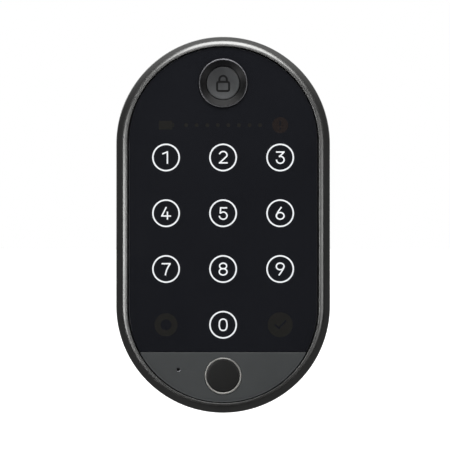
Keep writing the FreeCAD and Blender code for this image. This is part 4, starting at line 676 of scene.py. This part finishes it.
# radii of the bezel and of the cap, and the levels of their steps
bezelRim = {
    "rim": 7.6, "front": 22.0, "rear": 21.0, "lip": 7.1, "edge": 0.12, "mouth": 5.2, "mouthFront": 21.75,
    "shank": 5.9, "shankRear": 12.2, "floor": 16.6, "step": 4.0, "stepFront": 15.2, "bore": 2.05,
}
button = {
    "z": 43.5, "cap": 5.05, "capFront": 21.5, "capRear": 18.9, "capEdge": 0.12, "bowl": 4.8, "dish": 0.3,
    "stem": 2.0, "stemRear": 13.9, "clip": (1.6, 14.5, 15.2), "seal": (4.1, 19.4, 20.5),
}
k = bezelRim
shape = softCorners([
    (k["mouth"], k["mouthFront"], 0.05), (k["lip"], k["front"], k["edge"]),
    (k["rim"] - k["edge"], k["front"], k["edge"]), (k["rim"], k["front"] - 0.3, 0.15),
    (k["rim"], k["rear"], 0.05), (k["shank"], k["rear"], 0.0), (k["shank"], k["shankRear"], 0.15),
    (k["step"], k["shankRear"], 0.0), (k["step"], k["stepFront"], 0.0), (k["bore"], k["stepFront"], 0.0),
    (k["bore"], k["floor"], 0.0), (k["mouth"], k["floor"], 0.0)], 6)
bezel = place("buttonBezel", turned(shape, (0, button["z"]), steps=128), "unit", "button_bezel",
              look="bezel_enamel", sharp=30)
bezel.data.materials.append(finishes["bright_edge"])
middles = faceValues(bezel, "center") / mm - (0, 0, button["z"])
edgeFaces = np.hypot(middles[:, 0], middles[:, 2]) > k["lip"] + 0.05
edgeFaces &= -middles[:, 1] > k["front"] - 0.45
bezel.data.polygons.foreach_set("material_index", edgeFaces.astype(np.int32))

# cap face: level = edge - dish * (1 - (r / edge radius) ^ 2), a shallow bowl inside a rounded lip
bowl = np.linspace(button["bowl"], 0, 14)
face = np.stack([bowl, button["capFront"] - button["dish"] * (1 - (bowl / button["bowl"]) ** 2)], -1)
stem, rim, rear, front = button["stem"], button["cap"], button["capRear"], button["capFront"]
(clip, clipRear, clipFront), (seal, sealRear, sealFront) = button["clip"], button["seal"]
skirt = softCorners([
    (0, button["stemRear"], 0), (stem, button["stemRear"], 0.15), (stem, clipRear, 0), (clip, clipRear, 0),
    (clip, clipFront, 0), (stem, clipFront, 0), (stem, rear, 0.0), (rim, rear, 0.1), (rim, sealRear, 0),
    (seal, sealRear, 0), (seal, sealFront, 0), (rim, sealFront, 0), (rim, front, button["capEdge"]),
    (button["bowl"] + 0.05, front, 0.02), (0, front - 0.2, 0)], 5)[:-5]
cap = turned(np.vstack([skirt, face]), (0, button["z"]), steps=112, closed=False)
lockSign = {
    "body": (1.85, 1.4), "bodyDrop": 0.95, "shackle": 1.15, "line": 0.62, "face": 21.34, "depth": 0.12,
    "fill": 0.05,
}


def lockOutline(low, high, width):
    # plain padlock: a rounded square with a hoop over it
    k, at = lockSign, (0, button["z"])
    body = squared(k["body"][0], k["body"][1], 7) + (0, -k["bodyDrop"])
    reach = k["shackle"]
    hoop = np.vstack([run((-reach, 0.3)), bow(0, 1.15, reach, reach, 180, 0, 24), run((reach, 0.3))])
    return carved(stroke(body, width, low, high, at, True), [stroke(hoop, width, low, high, at)], "UNION")


line, floor = lockSign["line"], lockSign["face"] - lockSign["depth"]
place("buttonCap", carved(cap, [lockOutline(floor, 22.5, line)]), "button", "wake_button", sharp=28)
fill = lockOutline(floor - lockSign["fill"], floor + lockSign["fill"], line + 0.02)
place("lockSignFill", fill, "button", slot="dark_coating", look="fill_ink")

# return spring: a wire section carried along a helix whose first and last half turns lie flat
spring = {"coil": 7.2, "wire": 0.4, "seat": 16.6, "space": 2.3, "turns": 2.5, "travel": 0.6}
turn = np.linspace(0, spring["turns"], 150)[:, None]
rise = np.clip((turn - 0.5) / (spring["turns"] - 1.0), 0, 1)
around = np.linspace(0, 2 * math.pi, 10, endpoint=False)[None]
reach = spring["coil"] / 2 + spring["wire"] / 2 * np.cos(around)
level = spring["seat"] + spring["wire"] / 2 + 0.01 + rise * (spring["space"] - spring["wire"] - 0.02)
level = level + spring["wire"] / 2 * np.sin(around)
angle = 2 * math.pi * turn
coil = np.stack([reach * np.cos(angle), -level, button["z"] + reach * np.sin(angle)], -1)
piece = place("returnSpring", gridMesh(coil, (False, True), caps=True), "unit", "button_spring", sharp=60)
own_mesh(piece)
print("sensor and button made")


# the side that meets the door

gasket = {"halfWidth": 32.7, "halfHeight": 57.7, "hole": 26.3, "front": 1.0, "groove": 0.25}


def gasketPad():
    # rows from the outer edge over the face, dipping into a groove near each edge, then to the round hole;
    # hole points lie on the lines from the centre to their outline points
    outX, outZ, c = stadiumWay(96, 8)
    front, deep, hole = gasket["front"], gasket["groove"], gasket["hole"]

    def outline(inset):
        w, h = gasket["halfWidth"] - inset, gasket["halfHeight"] - inset
        return np.stack([w * outX, (h - w) * c + w * outZ], -1)

    rows = [atLevel(outline(inset), level) for inset, level in [
        (0.0, front), (0.0, 0.25), (0.08, 0.07), (0.25, 0.0), (1.9, 0.0), (2.0, 0.06), (2.1, deep),
        (2.7, deep), (2.8, 0.06), (2.9, 0.0), (4.5, 0.0)]]
    away = unit(outline(0.0))
    rows += [atLevel(radius * away, level) for radius, level in [
        (hole + 0.2, 0.0), (hole + 0.05, 0.05), (hole, 0.2), (hole, front)]]
    return gridMesh(np.stack(rows))


place("doorGasketPad", gasketPad(), "unit", "door_gasket", sharp=40)

# radii, and levels that count down into the door
collar = {
    "boss": 26.0, "base": 25.5, "well": 24.0, "front": 1.0, "floor": -1.0, "rear": -6.0,
    "hubBore": 7.02, "postBore": 4.1, "cableBore": 5.55, "screwBore": 1.7, "screwRing": 17.0,
}
screw = {"body": 1.45, "head": 2.75, "from": 3.0, "floor": -1.0, "to": -2.8, "hexagon": 2.0, "socket": -1.8}
posts = {
    "x": 19.0, "body": 4.0, "bore": 2.1, "thread": 0.28, "pitch": 0.8, "boreFront": 2.4, "flange": 5.5,
    "front": 4.5, "seat": 3.0, "rear": -8.0,
}
cable = {
    "z": -16.5, "body": 5.5, "lip": 7.0, "bore": 3.5, "round": 0.4, "front": 4.2, "seat": 3.0,
    "floor": -1.0, "rear": -2.2,
}
k, ringX, ringZ = collar, collar["screwRing"] * math.sqrt(3) / 2, collar["screwRing"] / 2
screwPlaces = [(0.0, k["screwRing"]), (-ringX, -ringZ), (ringX, -ringZ)]
cup = softCorners([
    (0, k["front"], 0), (k["base"], k["front"], 0.1), (k["base"], 0.0, 0.0), (k["boss"], 0.0, 0.1),
    (k["boss"], k["rear"] + 0.5, 0.15), (k["boss"] - 0.5, k["rear"], 0.15), (k["well"], k["rear"], 0.3),
    (k["well"], k["floor"], 0.6), (0, k["floor"], 0)], 6)
bores = [(k["hubBore"], (0, 0)), (k["postBore"], (-posts["x"], 0)), (k["postBore"], (posts["x"], 0)),
         (k["cableBore"], (0, cable["z"])), *((k["screwBore"], at) for at in screwPlaces)]
cup = turned(cup, steps=160, closed=False, start=0.02)
cup = carved(cup, [rod(radius, 3.0, -3.0, at) for radius, at in bores])
place("boreCollar", cup, "unit", "bore_collar", sharp=35)

k = screw
shape = softCorners([
    (0, k["from"], 0), (k["body"], k["from"], 0.15), (k["body"], k["floor"], 0.0),
    (k["head"], k["floor"], 0.1), (k["head"], k["to"], 0.35), (0, k["to"], 0)], 5)
heads = [carved(turned(shape, at, steps=48, closed=False), [prism(6, k["hexagon"], at, (k["socket"], -4.0))])
         for at in screwPlaces]
place("collarScrews", joined(heads), "unit", "collar_screws", sharp=30)

# tapped posts: the bore's wall goes in and out by a thread's depth once each pitch
k = posts
turns = np.arange(k["boreFront"] - 0.1, -7.2, -k["pitch"] / 2)
wall = np.stack([k["bore"] + k["thread"] * (np.arange(len(turns)) % 2), turns], -1)
outside = softCorners([
    (0, k["boreFront"], 0), (0, k["front"], 0), (k["flange"], k["front"], 0.2), (k["flange"], k["seat"], 0.2),
    (k["body"], k["seat"], 0.0), (k["body"], k["rear"], 0.35), (k["bore"] + 0.45, k["rear"], 0.05),
    (k["bore"], k["rear"] + 0.5, 0.05)], 4)[4:]
shape = np.vstack([outside, wall[::-1], [[0, k["boreFront"]]]])
tubes = [turned(shape, (side * k["x"], 0), steps=56, closed=False) for side in (-1, 1)]
place("mountingPosts", joined(tubes), "unit", "mounting_posts", sharp=35)

k = cable
rubber = softCorners([
    (k["bore"], k["front"], 0.3), (k["lip"], k["front"], k["round"]), (k["lip"], k["seat"], 0.1),
    (k["body"], k["seat"], 0.0), (k["body"], k["floor"], 0.0), (k["lip"], k["floor"], 0.1),
    (k["lip"], k["rear"], 0.5), (k["bore"], k["rear"], k["round"])], 6)
place("cableGrommet", turned(rubber, (0, k["z"]), steps=80), "unit", "cable_grommet", sharp=35)

bush = {"bore": 5.05, "body": 7.0, "flange": 9.0, "front": 3.0, "floor": -1.0, "rear": -2.0}
k = bush
shape = softCorners([
    (k["bore"], k["rear"], 0.2), (k["flange"], k["rear"], 0.3), (k["flange"], k["floor"], 0.1),
    (k["body"], k["floor"], 0.0), (k["body"], k["front"], 0.2), (k["bore"], k["front"], 0.0)], 5)
place("hubBush", turned(shape), "unit", "hub_bush", sharp=30)

hub = {"head": 8.0, "headRear": -8.05, "headFront": -2.05, "stem": 5.0, "groove": (4.3, 3.53, 4.2),
       "front": 4.75, "slot": ((-1.2, -3.0, -4.1), (1.2, 12.0, 4.1))}
# the cross pin lies along x, through hub and blade, with its axis that far into the door
pin = {"y": 5.05, "radius": 1.0, "hole": 1.02, "half": 7.9}
k, (groove, grooveRear, grooveFront) = hub, hub["groove"]
shape = softCorners([
    (0, k["headRear"], 0), (k["head"] - 0.5, k["headRear"], 0.1), (k["head"], k["headRear"] + 0.5, 0.1),
    (k["head"], k["headFront"], 0.15), (k["stem"], k["headFront"], 0.0), (k["stem"], grooveRear, 0.0),
    (groove, grooveRear, 0.0), (groove, grooveFront, 0.0), (k["stem"], grooveFront, 0.0),
    (k["stem"], k["front"], 0.2), (0, k["front"], 0)], 5)
hubMesh = carved(turned(shape, steps=112, closed=False),
                 [block(*k["slot"]), rod(pin["hole"], -12, 12, (pin["y"], 0), "x", 32)])
place("tailpieceHub", hubMesh, "tailpiece_group", "tailpiece_hub", sharp=30, bevel=0.08)

# blade: a flat bar whose far end has its corners cut and edges eased. Each station is a place along it,
# with the share of the width and of the thickness that is left there
blade = {"half": 4.0, "thick": 1.1, "from": -2.9, "to": 45.0, "cut": 1.4, "ease": 0.25}
wide, thick, tip, cut = blade["half"], blade["thick"], blade["to"], blade["cut"]
stations = [(blade["from"], 1.0, 1.0), (tip - cut, 1.0, 1.0), (tip - 0.4, 0.775, 0.93), (tip, 0.625, 0.77)]
ease = softCorners([(a * thick, b * wide, blade["ease"]) for a, b in ((-1, -1), (1, -1), (1, 1), (-1, 1))], 5)
grid = np.stack([np.stack([ease[:, 0] * thin, np.full(len(ease), y), ease[:, 1] * narrow], -1)
                 for y, narrow, thin in stations])
bladeMesh = carved(gridMesh(grid, (False, True), caps=True),
                   [rod(pin["hole"], -12, 12, (pin["y"], 0), "x", 32)])
place("tailpieceBlade", bladeMesh, "tailpiece_group", "tailpiece", sharp=30)

half, radius = pin["half"], pin["radius"]
shape = softCorners([(0, -half, 0), (radius, -half, 0.3), (radius, half, 0.3), (0, half, 0)], 5)
place("hubPin", turned(shape, (pin["y"], 0), "x", 40, False), "tailpiece_group", "hub_pin", sharp=30)
print("door side made")


# battery contacts under the lower end

# the block's loose triangles are joined first, so that its edges can be softened
place("contactBlock", tidyMesh(nodes["contact_block"].data.copy(), turn=False), "unit", "contact_block",
      bevel=0.12)
# turned about z, from the dished face up: places are z, and the tab behind is a box
contact = {"x": 6.35, "y": -8.7, "face": 2.15, "faceZ": -55.98, "dish": 0.12, "head": 2.5, "headZ": -55.8,
           "seatZ": -54.98, "stem": 1.1, "stemZ": -50.3, "tab": (1.0, 0.3, -50.25, -47.0)}
k, (tabX, tabY, tabFrom, tabTo) = contact, contact["tab"]
disk = np.linspace(0, k["face"], 10)
front = np.stack([disk, k["faceZ"] + k["dish"] * (disk / k["face"]) ** 2], -1)
stem = softCorners([
    (0, k["headZ"], 0), (k["head"], k["headZ"], 0.15), (k["head"], k["seatZ"], 0.1),
    (k["stem"], k["seatZ"], 0.0), (k["stem"], k["stemZ"], 0.1), (0, k["stemZ"], 0)], 4)[4:]
contacts = []
for x in (-k["x"], k["x"]):
    contacts.append(turned(np.vstack([front, stem]), (x, k["y"]), "z", 56, False))
    contacts.append(block((x - tabX, k["y"] - tabY, tabFrom), (x + tabX, k["y"] + tabY, tabTo)))
place("powerContacts", joined(contacts), "unit", "power_contacts", sharp=35)
print("contacts made")


# floor, light and camera

def plainSurface(name, colour, strength, gloss):
    # matt surface that shows white straight to the camera and keeps shadows. In gloss it is dim, darkest
    # from 80 mm in front, and lighter to the sides and behind
    material = bpy.data.materials.new(name)
    material.use_nodes = True
    tree = material.node_tree
    tree.nodes.clear()
    seen = addNode(tree, "ShaderNodeLightPath")
    clear = addNode(tree, "ShaderNodeMath", operation="MAXIMUM", inputs={
        0: seen.outputs["Is Camera Ray"], 1: seen.outputs["Is Glossy Ray"]})
    clear = addNode(tree, "ShaderNodeMath", operation="MAXIMUM", inputs={
        0: clear.outputs[0], 1: seen.outputs["Is Transmission Ray"]})
    level = addNode(tree, "ShaderNodeMath", {0: clear.outputs[0], 1: strength}, operation="MULTIPLY")
    matt = addNode(tree, "ShaderNodeBsdfPrincipled",
                   {"Base Color": linear(colour), "Roughness": 0.9, "Emission Color": (1, 1, 1, 1),
                    "Emission Strength": level.outputs[0]})
    spot = addNode(tree, "ShaderNodeSeparateXYZ", {0: addNode(tree, "ShaderNodeTexCoord").outputs["Object"]})
    aside = addNode(tree, "ShaderNodeMath", {0: spot.outputs["X"]}, operation="ABSOLUTE")
    reach = addNode(tree, "ShaderNodeMath", {0: aside.outputs[0], 1: 0.8, 2: spot.outputs["Y"]},
                    operation="MULTIPLY_ADD")
    shade = addNode(tree, "ShaderNodeMapRange", {
        "Value": reach.outputs[0], "From Min": -0.08, "From Max": -0.03,
        "To Min": 0.2 * gloss, "To Max": gloss})
    dim = addNode(tree, "ShaderNodeEmission", {"Color": (1, 1, 1, 1), "Strength": shade.outputs[0]})
    both = addNode(tree, "ShaderNodeMixShader",
                   {0: seen.outputs["Is Glossy Ray"], 1: matt.outputs[0], 2: dim.outputs[0]})
    addNode(tree, "ShaderNodeOutputMaterial", {"Surface": both.outputs[0]})
    return material


studio = {
    "floorZ": -76.0, "floorHalf": 4000.0, "floorColour": "#f2f2f2", "floorGlow": 0.75,
    "fill": 0.5, "backFill": 1.0, "roomGloss": 0.11, "ceilingGloss": 0.55, "backdropGloss": 1.0,
    "frontGloss": 0.3,
}
half = studio["floorHalf"]
floorMesh = bpy.data.meshes.new("floor")
floorMesh.from_pydata([(a * half * mm, b * half * mm, studio["floorZ"] * mm)
                       for a, b in ((-1, -1), (1, -1), (1, 1), (-1, 1))], [], [(0, 1, 2, 3)])
floorMesh.materials.append(plainSurface("Matt white paper", studio["floorColour"], studio["floorGlow"],
                                        studio["roomGloss"]))
floor = bpy.data.objects.new("floor", floorMesh)
bpy.context.scene.collection.objects.link(floor)

world = bpy.data.worlds.new("studio")
bpy.context.scene.world = world
world.use_nodes = True
tree = world.node_tree
tree.nodes.clear()
seen = addNode(tree, "ShaderNodeLightPath")
clear = addNode(tree, "ShaderNodeMath", operation="MAXIMUM", inputs={
    0: seen.outputs["Is Camera Ray"], 1: seen.outputs["Is Transmission Ray"]})
# gloss shows a dim room, lighter upwards and darkest in front, with a white backdrop straight behind
aim = addNode(tree, "ShaderNodeSeparateXYZ", {0: addNode(tree, "ShaderNodeTexCoord").outputs["Generated"]})
ceiling = addNode(tree, "ShaderNodeMapRange", interpolation_type="SMOOTHSTEP", inputs={
    "Value": aim.outputs["Z"], "From Min": 0.3, "From Max": 1.0,
    "To Min": studio["roomGloss"], "To Max": studio["ceilingGloss"]})
backdrop = addNode(tree, "ShaderNodeMapRange", interpolation_type="SMOOTHSTEP", inputs={
    "Value": aim.outputs["Y"], "From Min": 0.7, "From Max": 0.88,
    "To Min": 0.0, "To Max": studio["backdropGloss"]})
shade = addNode(tree, "ShaderNodeMapRange", interpolation_type="SMOOTHSTEP", inputs={
    "Value": aim.outputs["Y"], "From Min": -0.99, "From Max": -0.9,
    "To Min": studio["frontGloss"], "To Max": 1.0})
room = addNode(tree, "ShaderNodeMath", {0: ceiling.outputs[0], 1: shade.outputs[0]}, operation="MULTIPLY")
room = addNode(tree, "ShaderNodeMath", {0: room.outputs[0], 1: backdrop.outputs[0]}, operation="MAXIMUM")
soft = addNode(tree, "ShaderNodeMapRange", interpolation_type="SMOOTHSTEP", inputs={
    "Value": aim.outputs["Y"], "From Min": 0.0, "From Max": 0.6,
    "To Min": studio["fill"], "To Max": studio["backFill"]})
dim = addNode(tree, "ShaderNodeMix", {
    0: seen.outputs["Is Glossy Ray"], 2: soft.outputs[0], 3: room.outputs[0]})
level = addNode(tree, "ShaderNodeMath", {0: clear.outputs[0], 1: dim.outputs[0]}, operation="MAXIMUM")
sky = addNode(tree, "ShaderNodeBackground", {"Color": (1, 1, 1, 1), "Strength": level.outputs[0]})
addNode(tree, "ShaderNodeOutputWorld", {"Surface": sky.outputs[0]})

softboxes = [
    # name, place, point that it faces, width and height in mm, radiance
    ("overhead", (8, -238, 186), (0, -22, 52), (150, 170), 4.6),
    ("left", (-129, -430, -26), (0, -20, -22), (86, 154), 6.2),
    ("right", (124, -430, -34), (0, -20, -30), (84, 170), 2.4),
    ("behind", (-240, 420, 300), (0, 0, 0), (340, 280), 1.5),
]
for name, spot, target, (wide, high), radiance in softboxes:
    lamp = bpy.data.lights.new(name, "AREA")
    lamp.shape, lamp.size, lamp.size_y = "RECTANGLE", wide * mm, high * mm
    lamp.energy = radiance * math.pi * wide * high * mm * mm
    box = bpy.data.objects.new(name, lamp)
    bpy.context.scene.collection.objects.link(box)
    facing = Vector(target) - Vector(spot)
    box.location = Vector(spot) * mm
    box.rotation_euler = facing.to_track_quat("-Z", "Y").to_euler()

view = {"away": 450.0, "plane": -20.8, "across": 0.58, "up": -0.05, "lens": 117.0}
camera = bpy.data.objects.new("camera", bpy.data.cameras.new("camera"))
bpy.context.scene.collection.objects.link(camera)
camera.data.lens, camera.data.sensor_width = view["lens"], 36.0
camera.data.clip_start, camera.data.clip_end = 0.01, 50.0
camera.location = (view["across"] * mm, (view["plane"] - view["away"]) * mm, view["up"] * mm)
camera.rotation_euler = (math.pi / 2, 0, 0)
bpy.context.scene.camera = camera
bpy.context.scene.view_settings.view_transform = "Standard"
print("studio set")
